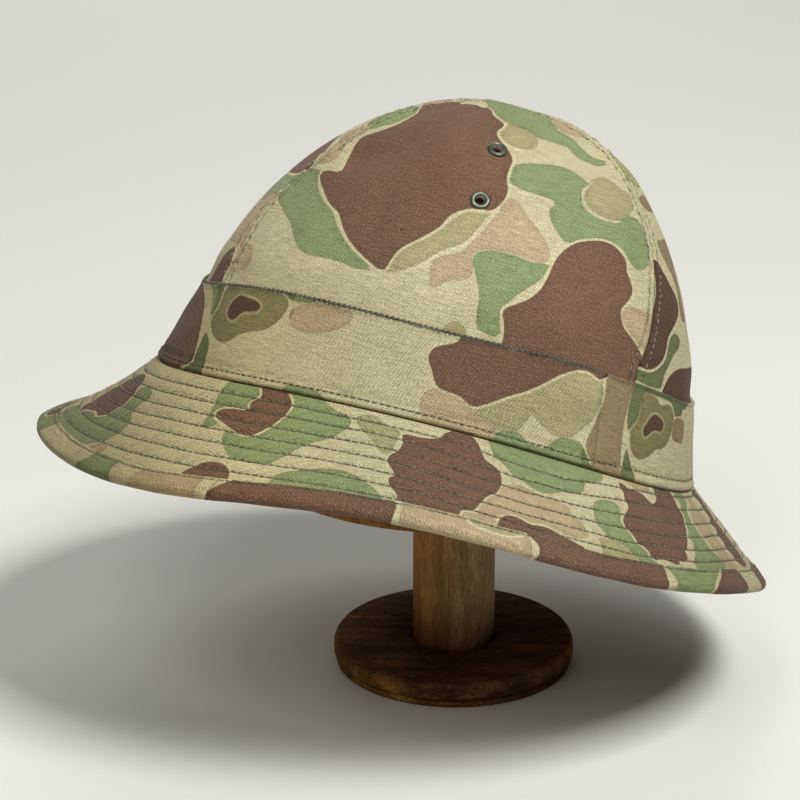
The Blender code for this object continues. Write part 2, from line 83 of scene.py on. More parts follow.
world = bpy.data.worlds.new("room_light")
world.use_nodes = True
sky = world.node_tree.nodes["Background"]
sky.inputs["Color"].default_value = SKY
sky.inputs["Strength"].default_value = SKY_STRENGTH
bpy.context.scene.world = world


class Signal:
    """One output in a material's nodes. Arithmetic on it adds Math nodes."""

    def __init__(self, tree, socket=None):
        self.tree, self.socket = tree, socket

    def add(self, kind, settings=None, values=None, output=0):
        """Add a node of any kind: first its settings, then its sockets' values or signals."""
        node = self.tree.nodes.new(kind)
        for name, value in (settings or {}).items():
            if name == "stops":
                ramp = node.color_ramp.elements
                while len(ramp) < len(value):
                    ramp.new(1.0)
                for stop, (place, colour) in zip(ramp, value):
                    stop.position, stop.color = place, colour
            else:
                setattr(node, name, value)
        for name, value in (values or {}).items():
            if isinstance(value, Signal):
                self.tree.links.new(value.socket, node.inputs[name])
            else:
                node.inputs[name].default_value = value
        return Signal(self.tree, node.outputs[output])

    def maths(self, operation, *others, clamp=False):
        """A Math node on this signal and any others, numbers or signals."""
        return self.add("ShaderNodeMath", {"operation": operation, "use_clamp": clamp},
                        dict(enumerate((self, *others))))

    def __add__(self, other):
        return self.maths("ADD", other)

    def __sub__(self, other):
        return self.maths("SUBTRACT", other)

    def __rsub__(self, other):
        return self.maths("MULTIPLY_ADD", -1.0, other)

    def __mul__(self, other):
        return self.maths("MULTIPLY", other)

    def __truediv__(self, other):
        return self.maths("DIVIDE", other)

    __radd__ = __add__
    __rmul__ = __mul__

    def step(self, softness):
        """0 below zero, 1 above it, with a soft edge this wide."""
        return self.maths("MULTIPLY_ADD", 1.0 / softness, 0.5, clamp=True)

    def ramp(self, none, full):
        """0 at one value and beyond it, 1 at the other and beyond it."""
        return self.maths("MULTIPLY_ADD", 1.0 / (full - none), none / (none - full), clamp=True)

    def bell(self, width):
        """1 at zero, falling to nothing at this distance from it."""
        return (1.0 - self.maths("ABSOLUTE") / width).maths("MAXIMUM", 0.0)

    def paint(self, mask, over, how="MIX"):
        """This colour with another laid on it where the mask says."""
        return self.add("ShaderNodeMix", {"data_type": "RGBA", "blend_type": how},
                        {0: mask, 6: self, 7: over}, 2)

    def shade(self, value):
        """This colour made lighter or darker by a value round 1."""
        return self.add("ShaderNodeVectorMath", {"operation": "SCALE"},
                        {"Vector": self, "Scale": value})

    def noise(self, vector, scale, detail=2.0, rough=0.5):
        """Soft noise round 0, from about -0.5 to 0.5."""
        made = self.add("ShaderNodeTexNoise", {}, {"Vector": vector, "Scale": scale,
                                                   "Detail": detail, "Roughness": rough}, "Fac")
        return made - 0.5

    def stretched(self, vector, sizes):
        """A vector with each of its three parts multiplied."""
        return self.add("ShaderNodeVectorMath", {"operation": "MULTIPLY"}, {0: vector, 1: sizes})

    def place(self):
        """Where a point of the piece is, in metres."""
        return self.add("ShaderNodeTexCoord", output="Object")

    def noted(self, what):
        """A value noted on the mesh's points."""
        return self.add("ShaderNodeAttribute", {"attribute_name": what}, output="Fac")

    def plain(self, colour):
        """One colour all over."""
        made = self.add("ShaderNodeRGB")
        made.socket.default_value = colour
        return made


def new_surface(name):
    """A new material, its shader, and a signal to start its nodes from."""
    made = bpy.data.materials.new(name)
    made.use_nodes = True
    shader = made.node_tree.nodes["Principled BSDF"]
    return made, shader, Signal(made.node_tree)


def feed(shader, socket, signal):
    """Let a signal drive one socket of the shader."""
    signal.tree.links.new(signal.socket, shader.inputs[socket])


def bump(start, height, strength, depth):
    """A Bump node's normal, for a height round 0 to 1 and a depth in millimetres."""
    return start.add("ShaderNodeBump", {}, {"Strength": strength, "Distance": depth * MM,
                                            "Height": height}, "Normal")


def place_object(name, mesh, surface, smooth=True):
    """Make a named object of a bmesh that is drawn in place, in metres."""
    data = bpy.data.meshes.new(name)
    mesh.to_mesh(data)
    mesh.free()
    data.materials.append(surface)
    data.polygons.foreach_set("use_smooth", [smooth] * len(data.polygons))
    piece = bpy.data.objects.new(name, data)
    bpy.context.scene.collection.objects.link(piece)
    return piece


table_surface, table_shader, start = new_surface("pale_table")
table_place = start.place()
mottle = start.noise(table_place, 3.0, 3.0) * 0.03 + start.noise(table_place, 700.0, 2.0) * 0.06
feed(table_shader, "Base Color", start.plain(TABLE_PALE).shade(mottle + 1.0))
table_shader.inputs["Roughness"].default_value = 0.75
table_mesh = bmesh.new()
bmesh.ops.create_grid(table_mesh, x_segments=8, y_segments=8, size=TABLE_HALF)
table = place_object("table_top", table_mesh, table_surface, False)

# The stand's foot: a thick disc of dark stained wood, turned on a lathe, with a rounded edge, a
# fine groove above its lip and a hole in its top that takes the post. It lies on the table.
BASE_RADIUS = 46.3
BASE_TOP_RADIUS = 44.5
BASE_HEIGHT = 9.9
BASE_LIP_HEIGHT = 2.8
POST_RADIUS = 15.7
SOCKET_RADIUS = 16.3
SOCKET_FLOOR = 3.0
LATHE_STEPS = 144
BASE_PROFILE = [
    # radius, height
    (0.0, 0.0),
    (BASE_RADIUS - 1.8, 0.0),
    (BASE_RADIUS - 1.1, 0.2),
    (BASE_RADIUS - 0.9, 0.8),
    (BASE_RADIUS - 0.9, BASE_LIP_HEIGHT - 0.6),
    (BASE_RADIUS - 1.2, BASE_LIP_HEIGHT - 0.3),
    (BASE_RADIUS - 2.6, BASE_LIP_HEIGHT - 0.1),
    (BASE_RADIUS - 2.6, BASE_LIP_HEIGHT + 0.15),
    (BASE_RADIUS - 0.7, BASE_LIP_HEIGHT + 0.4),
    (BASE_RADIUS - 0.2, BASE_LIP_HEIGHT + 0.8),
    (BASE_RADIUS, BASE_LIP_HEIGHT + 1.5),
    (BASE_RADIUS, BASE_HEIGHT - 3.8),
    (BASE_RADIUS - 0.1, BASE_HEIGHT - 2.6),
    (BASE_RADIUS - 0.3, BASE_HEIGHT - 1.8),
    (BASE_RADIUS - 0.6, BASE_HEIGHT - 1.0),
    (BASE_RADIUS - 1.1, BASE_HEIGHT - 0.3),
    (BASE_TOP_RADIUS - 0.4, BASE_HEIGHT),
    (SOCKET_RADIUS + 0.5, BASE_HEIGHT),
    (SOCKET_RADIUS, BASE_HEIGHT - 0.4),
    (SOCKET_RADIUS, SOCKET_FLOOR),
    (0.0, SOCKET_FLOOR),
]


def turned(name, profile, surface):
    """A lathe piece: a profile of (radius, height) spun round the stand's axis."""
    mesh = bmesh.new()
    points = [mesh.verts.new((radius * MM, 0, height * MM)) for radius, height in profile]
    edges = [mesh.edges.new(pair) for pair in zip(points, points[1:])]
    bmesh.ops.spin(mesh, geom=points + edges, axis=(0, 0, 1), cent=(0, 0, 0),
                   angle=2 * math.pi, steps=LATHE_STEPS, use_merge=True)
    bmesh.ops.remove_doubles(mesh, verts=mesh.verts, dist=0.01 * MM)
    bmesh.ops.recalc_face_normals(mesh, faces=mesh.faces)
    return place_object(name, mesh, surface)


def settle(piece, node=None):
    """Fix a piece on the one body, and hide the CAD node it stands for."""
    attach(piece, "root")
    if node:
        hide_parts(node)


def wood(name, dark, light, grain, rough, patches):
    """Turned wood. Its fibres run along the axis whose number in grain is smallest. Each patch
    is a tint and the four numbers, per metre, of a plane: it shows where they add up above 0.
    The patches paint light and shade onto the wood, or darken it towards one end."""
    made, shader, start = new_surface(name)
    place = start.place()
    shift = start.add("ShaderNodeVectorMath", {"operation": "SCALE"},
                      {"Vector": start.add("ShaderNodeTexNoise", {}, {"Vector": place,
                                                                      "Scale": 9.0}, "Color"),
                       "Scale": 0.35})
    bent = start.add("ShaderNodeVectorMath", {"operation": "ADD"},
                     {0: start.stretched(place, grain), 1: shift})
    rings = start.noise(bent, 3.0, 4.0, 0.6)
    fibres = start.noise(bent, 34.0, 3.0, 0.75)
    pores = (start.noise(bent, 75.0, 1.0) - 0.10).maths("MAXIMUM", 0.0) * 4.0
    stain = start.noise(place, 30.0, 3.0)
    tone = rings * 1.1 + fibres * 1.5 + stain * 0.7 + 0.5
    colour = start.add("ShaderNodeValToRGB", {"stops": [
        (0.05, (*[c * 0.6 for c in dark], 1.0)), (0.4, (*dark, 1.0)), (0.95, (*light, 1.0))]},
        {"Fac": tone}, "Color")
    for tint, plane in patches:
        side = start.add("ShaderNodeVectorMath", {"operation": "DOT_PRODUCT"},
                         {0: place, 1: plane[:3]}, "Value") + plane[3] + stain + fibres * 0.6
        colour = colour.paint(side.step(1.6) * 0.85, (*tint, 1.0), "MULTIPLY")
    colour = colour.paint(pores.maths("MINIMUM", 1.0) * 0.7, (*[c * 0.3 for c in dark], 1.0))
    feed(shader, "Base Color", colour)
    feed(shader, "Roughness", fibres * 0.2 + rough)
    feed(shader, "Normal", bump(start, fibres * 0.8 + 0.5 - pores * 0.4, 0.45, 0.25))
    shader.inputs["Specular IOR Level"].default_value = 0.04
    return made


# Painted light: a tint makes the foot's left side brighter and warmer, most of all low down.
dark_wood = wood("dark_wood", (0.054, 0.024, 0.009), (0.215, 0.105, 0.038), (10.0, 60.0, 60.0),
                 0.80, [((3.2, 3.1, 2.2), (-40.0, 0.0, -200.0, 0.6))])
foot = turned("turned_foot", BASE_PROFILE, dark_wood)
settle(foot, "stand_base")

# The stand's post: a thick round of brown wood with its grain upright, standing in the foot's
# hole, its upper end under the head.
POST_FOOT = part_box("stand_post")[0].z / MM
POST_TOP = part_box("stand_post")[1].z / MM
# Painted light and shade: the post's left side is tinted more orange where light falls on it. Its
# right side near the foot is darkened almost to black as a painted contact shadow. The whole post
# is also darker and browner towards its foot.
post_wood = wood("post_wood", (0.265, 0.167, 0.076), (0.560, 0.395, 0.220), (55.0, 55.0, 5.0),
                 0.62, [((1.25, 0.88, 0.50), (-90.0, 0.0, 0.0, -0.2)),
                        ((0.55, 0.42, 0.30), (0.0, 0.0, -110.0, 2.6)),
                        ((0.10, 0.06, 0.04), (200.0, 0.0, -120.0, -1.1))])
post = turned("turned_post", [
    (0.0, POST_FOOT), (POST_RADIUS - 0.6, POST_FOOT), (POST_RADIUS - 0.15, POST_FOOT + 0.15),
    (POST_RADIUS, POST_FOOT + 0.6), (POST_RADIUS, (POST_FOOT + POST_TOP) / 2),
    (POST_RADIUS, POST_TOP - 0.1), (POST_RADIUS - 0.1, POST_TOP), (0.0, POST_TOP)], post_wood)
settle(post, "stand_post")

# The stand's head: one block of wood turned to a dome that fills the crown, flat below with a
# rounded lower edge, fixed on the post's end.
HAT_HEIGHT = 105.1
HALF_WIDTH = 85.8
HEAD_RADIUS = HALF_WIDTH - 7.8
HEAD_SHOULDER_HEIGHT = HAT_HEIGHT - 9.6
HEAD_EDGE_ROUND = 3.0
HEAD_EDGE_STEPS = 8
HEAD_CURVE = 1.8
HEAD_DOME_STEPS = 40
HEAD_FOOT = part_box("stand_head")[0].z / MM
HEAD_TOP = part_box("stand_head")[1].z / MM

head_profile = [(0.0, HEAD_FOOT)]
for i in range(HEAD_EDGE_STEPS + 1):
    angle = math.pi / 2 * i / HEAD_EDGE_STEPS
    head_profile.append((HEAD_RADIUS - HEAD_EDGE_ROUND * (1 - math.sin(angle)),
                         HEAD_FOOT + HEAD_EDGE_ROUND * (1 - math.cos(angle))))
for i in range(HEAD_DOME_STEPS):
    share = math.sin(math.pi / 2 * i / HEAD_DOME_STEPS)
    head_profile.append((HEAD_RADIUS * (1 - share ** HEAD_CURVE) ** (1 / HEAD_CURVE),
                         HEAD_SHOULDER_HEIGHT + (HEAD_TOP - HEAD_SHOULDER_HEIGHT) * share))
head_profile.append((0.0, HEAD_TOP))
# Painted light: a tint makes the head's left side warmer.
head_wood = wood("head_wood", (0.120, 0.062, 0.024), (0.300, 0.165, 0.070), (45.0, 45.0, 6.0),
                 0.65, [((1.2, 0.95, 0.70), (-40.0, 0.0, 0.0, 0.0))])
head = turned("turned_head", head_profile, head_wood)
settle(head, "stand_head")

# The crown: four panels of printed cotton, sewn edge to edge with the seam allowances turned
# under and topstitched on both sides of each seam. It is drawn upright, its front toward -X,
# and is then laid tipped on the stand's head.
CLOTH = 1.2
GAP = 0.3
CROWN_EASE = 0.4
EASE_LEVELS = 0.7
HALF_LENGTH = 103.0
OVAL_DIP = 6.5
OVAL_LEAN = -2.3
CROWN_HEIGHT = 115.5
BAND_TOP_DIP = 1.3
HAT_FORWARD = 9.7
HAT_PITCH = 12.55
HAT_ROLL = -10.0
HAT_YAW = -5.5
HAT_POSE = (Matrix.Translation((-HAT_FORWARD, 0.0, HAT_HEIGHT))
            @ Matrix.Rotation(math.radians(HAT_PITCH), 4, "Y")
            @ Matrix.Rotation(math.radians(HAT_ROLL), 4, "X")
            @ Matrix.Rotation(math.radians(HAT_YAW), 4, "Z"))
POSE = np.array(HAT_POSE)
# The crown's form by level, from the opening (0) over the band's top (1) to the point (11).
LEVELS = np.array([
    # height, front, back, width: shares of CROWN_HEIGHT, HALF_LENGTH and HALF_WIDTH
    (0.000, 1.000, 1.000, 1.000),
    (0.282, 0.895, 0.933, 0.914),
    (0.418, 0.835, 0.883, 0.859),
    (0.535, 0.767, 0.828, 0.797),
    (0.636, 0.689, 0.766, 0.727),
    (0.731, 0.600, 0.689, 0.646),
    (0.809, 0.510, 0.610, 0.564),
    (0.871, 0.413, 0.534, 0.480),
    (0.918, 0.314, 0.454, 0.392),
    (0.957, 0.207, 0.350, 0.284),
    (0.984, 0.095, 0.229, 0.165),
    (1.000, 0.000, 0.000, 0.000),
])
TOP_LEVEL = 11
# Where the seams run, in degrees from the middle of the front and of the back, by level.
SEAMS = np.array([
    # from front, from back
    (28.0, 44.0),
    (26.0, 42.0),
    (23.3, 38.5),
    (21.5, 33.5),
    (23.8, 29.5),
    (27.0, 25.0),
    (25.0, 21.5),
    (22.5, 18.5),
    (21.0, 17.5),
    (21.0, 17.5),
    (21.0, 18.0),
    (21.0, 20.0),
])
DENTS = [
    # turn, level, height out in mm, spread in turn, spread in levels
    (-42.0, 2.2, 1.60, 7.0, 0.8),
    (-50.0, 1.5, -1.60, 8.0, 0.7),
    (-137.0, 5.3, -1.90, 10.0, 0.7),
    (-125.0, 5.8, -1.00, 12.0, 1.0),
    (-104.0, 6.2, 0.88, 9.0, 0.9),
    (-124.0, 0.6, -1.20, 8.0, 0.6),
    (-152.0, 4.9, 1.52, 7.0, 0.5),
    (42.0, 2.4, -1.44, 9.0, 0.9),
    (112.0, 5.0, -1.52, 14.0, 1.2),
    (70.0, 3.2, 0.96, 12.0, 1.2),
]


def between(values, place):
    """Values at fractional row numbers, on a smooth curve through the rows, no overshoot."""
    place = np.asarray(place, float)
    last = len(values) - 1
    row = np.clip(np.floor(place).astype(int), 0, last - 1)
    part = place - row
    steps = np.diff(values)
    slopes = np.zeros(last + 1)
    slopes[0], slopes[-1] = steps[0], steps[-1]
    for i in range(1, last):
        before, after = steps[i - 1], steps[i]
        slopes[i] = 0.0 if before * after <= 0 else 2 * before * after / (before + after)
    return (values[row] * (1 + 2 * part) * (1 - part) ** 2
            + values[row + 1] * part ** 2 * (3 - 2 * part)
            + slopes[row] * part * (1 - part) ** 2 - slopes[row + 1] * part ** 2 * (1 - part))


def unit(vectors):
    """Vectors made one long."""
    return vectors / np.maximum(np.linalg.norm(vectors, axis=-1, keepdims=True), 1e-9)


def crown_form(turn, level):
    """The crown's outside before any dent, at turns (0 back, 90 right, 180 front) and levels."""
    turn, level = np.broadcast_arrays(np.asarray(turn, float), np.asarray(level, float))
    height = between(LEVELS[:, 0], level) * CROWN_HEIGHT
    front = between(LEVELS[:, 1], level) * HALF_LENGTH
    back = between(LEVELS[:, 2], level) * HALF_LENGTH
    side = between(LEVELS[:, 3], level) * HALF_WIDTH
    angle = np.radians(turn)
    fade = np.minimum(1.0, (CROWN_HEIGHT - height) / (CROWN_HEIGHT * (1 - LEVELS[1, 0])))
    wave = -BAND_TOP_DIP * np.where(level < 1, level, fade ** 3)
    along = np.cos(angle) * np.where(np.cos(angle) > 0, back, front)
    lift = (-OVAL_DIP * np.cos(2 * angle) + OVAL_LEAN * np.cos(angle)) * fade
    return np.stack([along, side * np.sin(angle), height + lift + wave * np.cos(4 * angle)], -1)


def crown_point(turn, level, inset=0.0):
    """Points of the crown, dents included, moved in from the outside by inset."""
    turn, level = np.broadcast_arrays(np.asarray(turn, float), np.asarray(level, float))
    here = crown_form(turn, level)
    beside = crown_form(turn + 0.05, level) - crown_form(turn - 0.05, level)
    above = (crown_form(turn, np.minimum(level + 0.01, TOP_LEVEL))
             - crown_form(turn, np.maximum(level - 0.01, 0)))
    push = -np.asarray(inset) * np.ones_like(level)
    for dent_turn, dent_level, height, turn_spread, level_spread in DENTS:
        apart = (turn - dent_turn + 180) % 360 - 180
        push = push + height * np.exp(-(apart / turn_spread) ** 2
                                      - ((level - dent_level) / level_spread) ** 2)
    return here + unit(np.cross(beside, above)) * push[..., None]


def crown_inset(level):
    """How far the crown's outside stands in from the drawn form: room for the band, which it
    has given up EASE_LEVELS above the band's top."""
    share = np.clip((np.asarray(level, float) - 1.0) / EASE_LEVELS, 0.0, 1.0)
    share = share * share * (3 - 2 * share)
    return CLOTH + GAP + (CROWN_EASE - CLOTH - GAP) * share


# Cloth is charted in millimetres: along it, from the middle of a panel, and up it.
FINE_LEVELS = np.linspace(0, TOP_LEVEL, 1101)
whole_turn = crown_form(np.arange(0, 360, 2.0)[None, :], FINE_LEVELS[:, None])
GIRTH = np.linalg.norm(np.roll(whole_turn, -1, 1) - whole_turn, axis=-1).sum(1)
climbs = []
for turn in np.arange(0, 360, 10.0):
    line = crown_form(turn, FINE_LEVELS)
    climbs.append(np.concatenate([[0], np.cumsum(np.linalg.norm(np.diff(line, axis=0), axis=1))]))
CLIMB = np.mean(climbs, 0)


def level_at(climb):
    """Level of the crown at a height measured up the cloth."""
    return np.interp(climb, CLIMB, FINE_LEVELS)


def girth_at(level):
    """Distance round the crown at a level."""
    return np.interp(level, FINE_LEVELS, GIRTH)


def on_stand(points):
    """Points of the hat, in millimetres, where they are on the stand, in metres."""
    return (points @ POSE[:3, :3].T + POSE[:3, 3]) * MM


def cloth_grid(columns, rows):
    """A flat grid, and the column and row number of each of its points."""
    mesh = bmesh.new()
    bmesh.ops.create_grid(mesh, x_segments=columns, y_segments=rows, size=1.0)
    places = np.array([point.co[:2] for point in mesh.verts])
    column = np.rint((places[:, 0] + 1) / 2 * columns).astype(int)
    row = np.rint((places[:, 1] + 1) / 2 * rows).astype(int)
    return mesh, column, row


def lay_cloth(mesh, points, values):
    """Move a grid's points into place and note named values on each of them."""
    layers = [(mesh.verts.layers.float.new(name), numbers) for name, numbers in values.items()]
    for i, point in enumerate(mesh.verts):
        point.co = points[i]
        for layer, numbers in layers:
            point[layer] = numbers[i]


def thicken(piece, thickness):
    """Give a sheet of cloth its thickness, inward from the drawn side."""
    solid = piece.modifiers.new("cloth", "SOLIDIFY")
    solid.thickness = thickness * MM
    solid.offset = -1.0
    solid.use_even_offset = True
    solid.use_quality_normals = True


# The print: blots of green, pink, olive and brown on khaki, each with a smooth outline. Each
# is charted as points along and up the cloth, and every point of the cloth then notes how far
# inside the nearest outline of each colour it lies.
COLOURS = ("green", "pink", "olive", "cream", "brown", "deep")
HALO = 1.0
FAR = 8.0
CREAM_HALF = 0.65


def smooth_outline(points, closed=True):
    """A finer, rounded line through charted points."""
    points = np.array(points, float)
    count = len(points)
    spans = count if closed else count - 1
    line = []
    for i in range(spans):
        if closed:
            a, b, c, d = (points[(i + k) % count] for k in (-1, 0, 1, 2))
        else:
            a, b, c, d = (points[min(max(i + k, 0), count - 1)] for k in (-1, 0, 1, 2))
        # A tangent at each end, never longer than the span, so that the line can't loop.
        reach = np.linalg.norm(c - b)
        leave = (c - a) / 2 * min(1.0, reach / max(np.linalg.norm(c - a) / 2, 1e-6))
        arrive = (d - b) / 2 * min(1.0, reach / max(np.linalg.norm(d - b) / 2, 1e-6))
        for t in (0.0, 0.25, 0.5, 0.75):
            line.append(b + leave * t + (3 * (c - b) - 2 * leave - arrive) * t ** 2
                        + (2 * (b - c) + leave + arrive) * t ** 3)
    if not closed:
        line.append(points[-1])
    return np.array(line)


def inside_by(points, places, closed=True):
    """How far each place lies inside an outline, negative outside it."""
    line = smooth_outline(points, closed)
    found = np.full(len(places), -FAR)
    near = np.all((places > line.min(0) - FAR) & (places < line.max(0) + FAR), axis=1)
    if not near.any():
        return found
    place = places[near][:, None, :]
    begin = line if closed else line[:-1]
    end = np.roll(line, -1, 0) if closed else line[1:]
    span = end - begin
    share = ((place - begin) * span).sum(-1) / np.maximum((span ** 2).sum(-1), 1e-9)
    apart = place - begin - span * np.clip(share, 0, 1)[..., None]
    distance = np.sqrt((apart ** 2).sum(-1)).min(1)
    if closed:
        rises = (begin[:, 1] > place[..., 1]) != (end[:, 1] > place[..., 1])
        climb = np.where(span[:, 1] == 0, 1e-9, span[:, 1])
        cross = begin[:, 0] + (place[..., 1] - begin[:, 1]) / climb * span[:, 0]
        within = (rises & (place[..., 0] < cross)).sum(1) % 2 == 1
        found[near] = np.clip(np.where(within, distance, -distance), -FAR, FAR)
    else:
        closest = np.argmin((apart ** 2).sum(-1), 1)
        turn = span[closest, 0] * apart[range(len(apart)), closest, 1]
        turn = turn - span[closest, 1] * apart[range(len(apart)), closest, 0]
        found[near] = np.clip(np.where(turn > 0, distance, -distance), -FAR, FAR)
    return found


def print_on(places, chart):
    """The colours' distances at each place of the cloth, for a chart of outlines. A cream
    line's distance is signed by its side, and "creamed" is the same unsigned."""
    field = {colour: np.full(len(places), -FAR) for colour in COLOURS}
    for colour, outline in chart:
        found = inside_by(outline, places, colour != "cream")
        if colour == "cream":
            nearer = np.abs(found) < np.abs(field[colour])
            field[colour] = np.where(nearer, found, field[colour])
        else:
            field[colour] = np.maximum(field[colour], found)
    field["green"] = np.minimum(field["green"], -HALO - field["brown"])
    field["creamed"] = np.abs(field["cream"])
    return field


def moved(chart, along, flip=False):
    """A chart shifted along the cloth, and turned end for end if flip is set."""
    return [(colour, [((-u if flip else u) + along, w) for u, w in outline])
            for colour, outline in chart]


KHAKI = (0.505, 0.462, 0.292, 1.0)
CREAM = (0.600, 0.545, 0.355, 1.0)
WARM_SHADE_AND_DYE = (1.0, 0.94, 0.80, 1.0)
INKS = {
    "green": (0.230, 0.286, 0.138, 1.0),
    "pink": (0.435, 0.335, 0.205, 1.0),
    "olive": (0.365, 0.328, 0.170, 1.0),
    "brown": (0.156, 0.089, 0.058, 1.0),
}
INK_EDGE = 0.25
TWILL_RIB = 0.80


def printed_cotton(name, fade, warm_shade_share):
    """Printed cotton twill: fade scales its brightness, and the third number is how much warm
    painted shade lies at the front of the hat."""
    made, shader, start = new_surface(name)
    place, along, up = start.place(), start.noted("along"), start.noted("up")
    threads = start.add("ShaderNodeCombineXYZ", {}, {0: along, 1: up})
    diagonal = start.add("ShaderNodeCombineXYZ", {}, {0: along + up, 1: along - up})
    # The weave: the twill's slanted ribs, thicker and thinner yarns both ways, and flecks.
    rib = ((along + up + start.noise(threads, 0.3, 2.0) * 2.0)
           * (math.sqrt(2) * math.pi / TWILL_RIB)).maths("SINE")
    rib = rib * (start.noise(threads, 0.9, 1.0) * 1.4 + 0.8)
    slub = start.noise(start.stretched(diagonal, (1.2, 0.3, 1.0)), 1.0, 1.0)
    warp = start.noise(start.stretched(threads, (1.7, 0.20, 1.0)), 1.0, 2.0)
    weft = start.noise(start.stretched(threads, (0.16, 1.8, 1.0)), 1.0, 2.0)
    fleck = start.noise(threads, 1.6, 2.0, 0.6)
    # The print: one colour over another, and cream wherever a line or a brown blot's halo is.
    bleed = start.noise(threads, 1.6, 2.0) * 0.30
    green, pink, olive, brown = (start.noted(ink) + bleed for ink in INKS)
    masks = {ink: found.step(INK_EDGE) for ink, found in zip(INKS, (green, pink, olive, brown))}
    line = (CREAM_HALF - start.noted("cream").maths("ABSOLUTE")).step(0.35)
    line = line * (CREAM_HALF + 1.5 - start.noted("creamed")).step(0.5)
    halo = (brown + HALO).step(0.35)
    colour = start.plain(KHAKI)
    for ink in ("green", "pink", "olive"):
        colour = colour.paint(masks[ink], INKS[ink])
    colour = colour.paint(line * 0.85, CREAM)
    colour = colour.paint(halo * (0.3 + masks["green"] * 0.3 + masks["olive"] * 0.5), CREAM)
    colour = colour.paint(masks["brown"], INKS["brown"])
    # Dye lies thicker along a blot's outline and a little inside it.
    rim = brown.maths("MAXIMUM", green).maths("MAXIMUM", pink).maths("MAXIMUM", olive)
    rim = (rim - 1.0).bell(1.6)
    edge = green.bell(0.5).maths("MAXIMUM", pink.bell(0.4)).maths("MAXIMUM", olive.bell(0.4))
    edge = edge * (1.0 - halo)
    light_flecks = (fleck - 0.05).maths("MAXIMUM", 0.0) * (1.0 + masks["brown"] * 3.6)
    sewn = start.noted("sewn")
    pucker = start.noise(threads, 0.42, 1.0) * sewn.bell(2.6)
    # Painted shade: the cloth is darker and warmer at the back, the front end and the top, and
    # where the chart marks deeper dye and painted shade. Distances are metres from the stand's
    # foot.
    across = start.add("ShaderNodeSeparateXYZ", {}, {0: place}, "X")
    height = start.add("ShaderNodeSeparateXYZ", {}, {0: place}, "Z")
    kept = (across.ramp(0.05, 0.12143) * 0.275 + across.ramp(-0.07917, -0.12083) * 0.35
            + height.ramp(0.1875, 0.2125) * 0.12)
    # Painted shade: the front of the hat is painted warmer still.
    warm_front_shade = across.ramp(-0.03, -0.07) * warm_shade_share
    printed = masks["green"]
    for ink in ("pink", "olive", "brown"):
        printed = printed.maths("MAXIMUM", masks[ink])
    # Where the chart marks deeper dye and painted shade, the inks are darker.
    kept = kept + printed * (start.noted("deep") + bleed).step(0.3) * 0.38
    # The tone also holds painted shade: puckers lighter and darker beside the seams, darker
    # grooves along the stitch rows, and broad soft patches that are part uneven fading, part
    # painted fold shading.
    tone = (0.96 + rib * 0.20 + slub * 0.24 + warp * 0.36 + weft * 0.95 + fleck * 1.2
            + light_flecks + start.noise(place, 24.0, 3.0) * 0.40 + pucker * 0.7 - rim * 0.07
            - edge * 0.20 - sewn.bell(0.9) * 0.34) * fade * (1.0 - kept)
    # The painted shade and the deeper dye are warmed by this tint.
    colour = colour.paint(kept * 1.5 + warm_front_shade, WARM_SHADE_AND_DYE, "MULTIPLY")
    feed(shader, "Base Color", colour.shade(tone))
    feed(shader, "Roughness", 0.88 + weft * 0.1)
    relief = rib * 0.16 + warp * 0.4 + weft * 0.7 + fleck * 0.6 + pucker * 2.2 + 0.5
    feed(shader, "Normal", bump(start, relief, 0.7, 0.20))
    shader.inputs["Sheen Weight"].default_value = 0.06
    shader.inputs["Sheen Roughness"].default_value = 0.5
    shader.inputs["Specular IOR Level"].default_value = 0.12
    return made


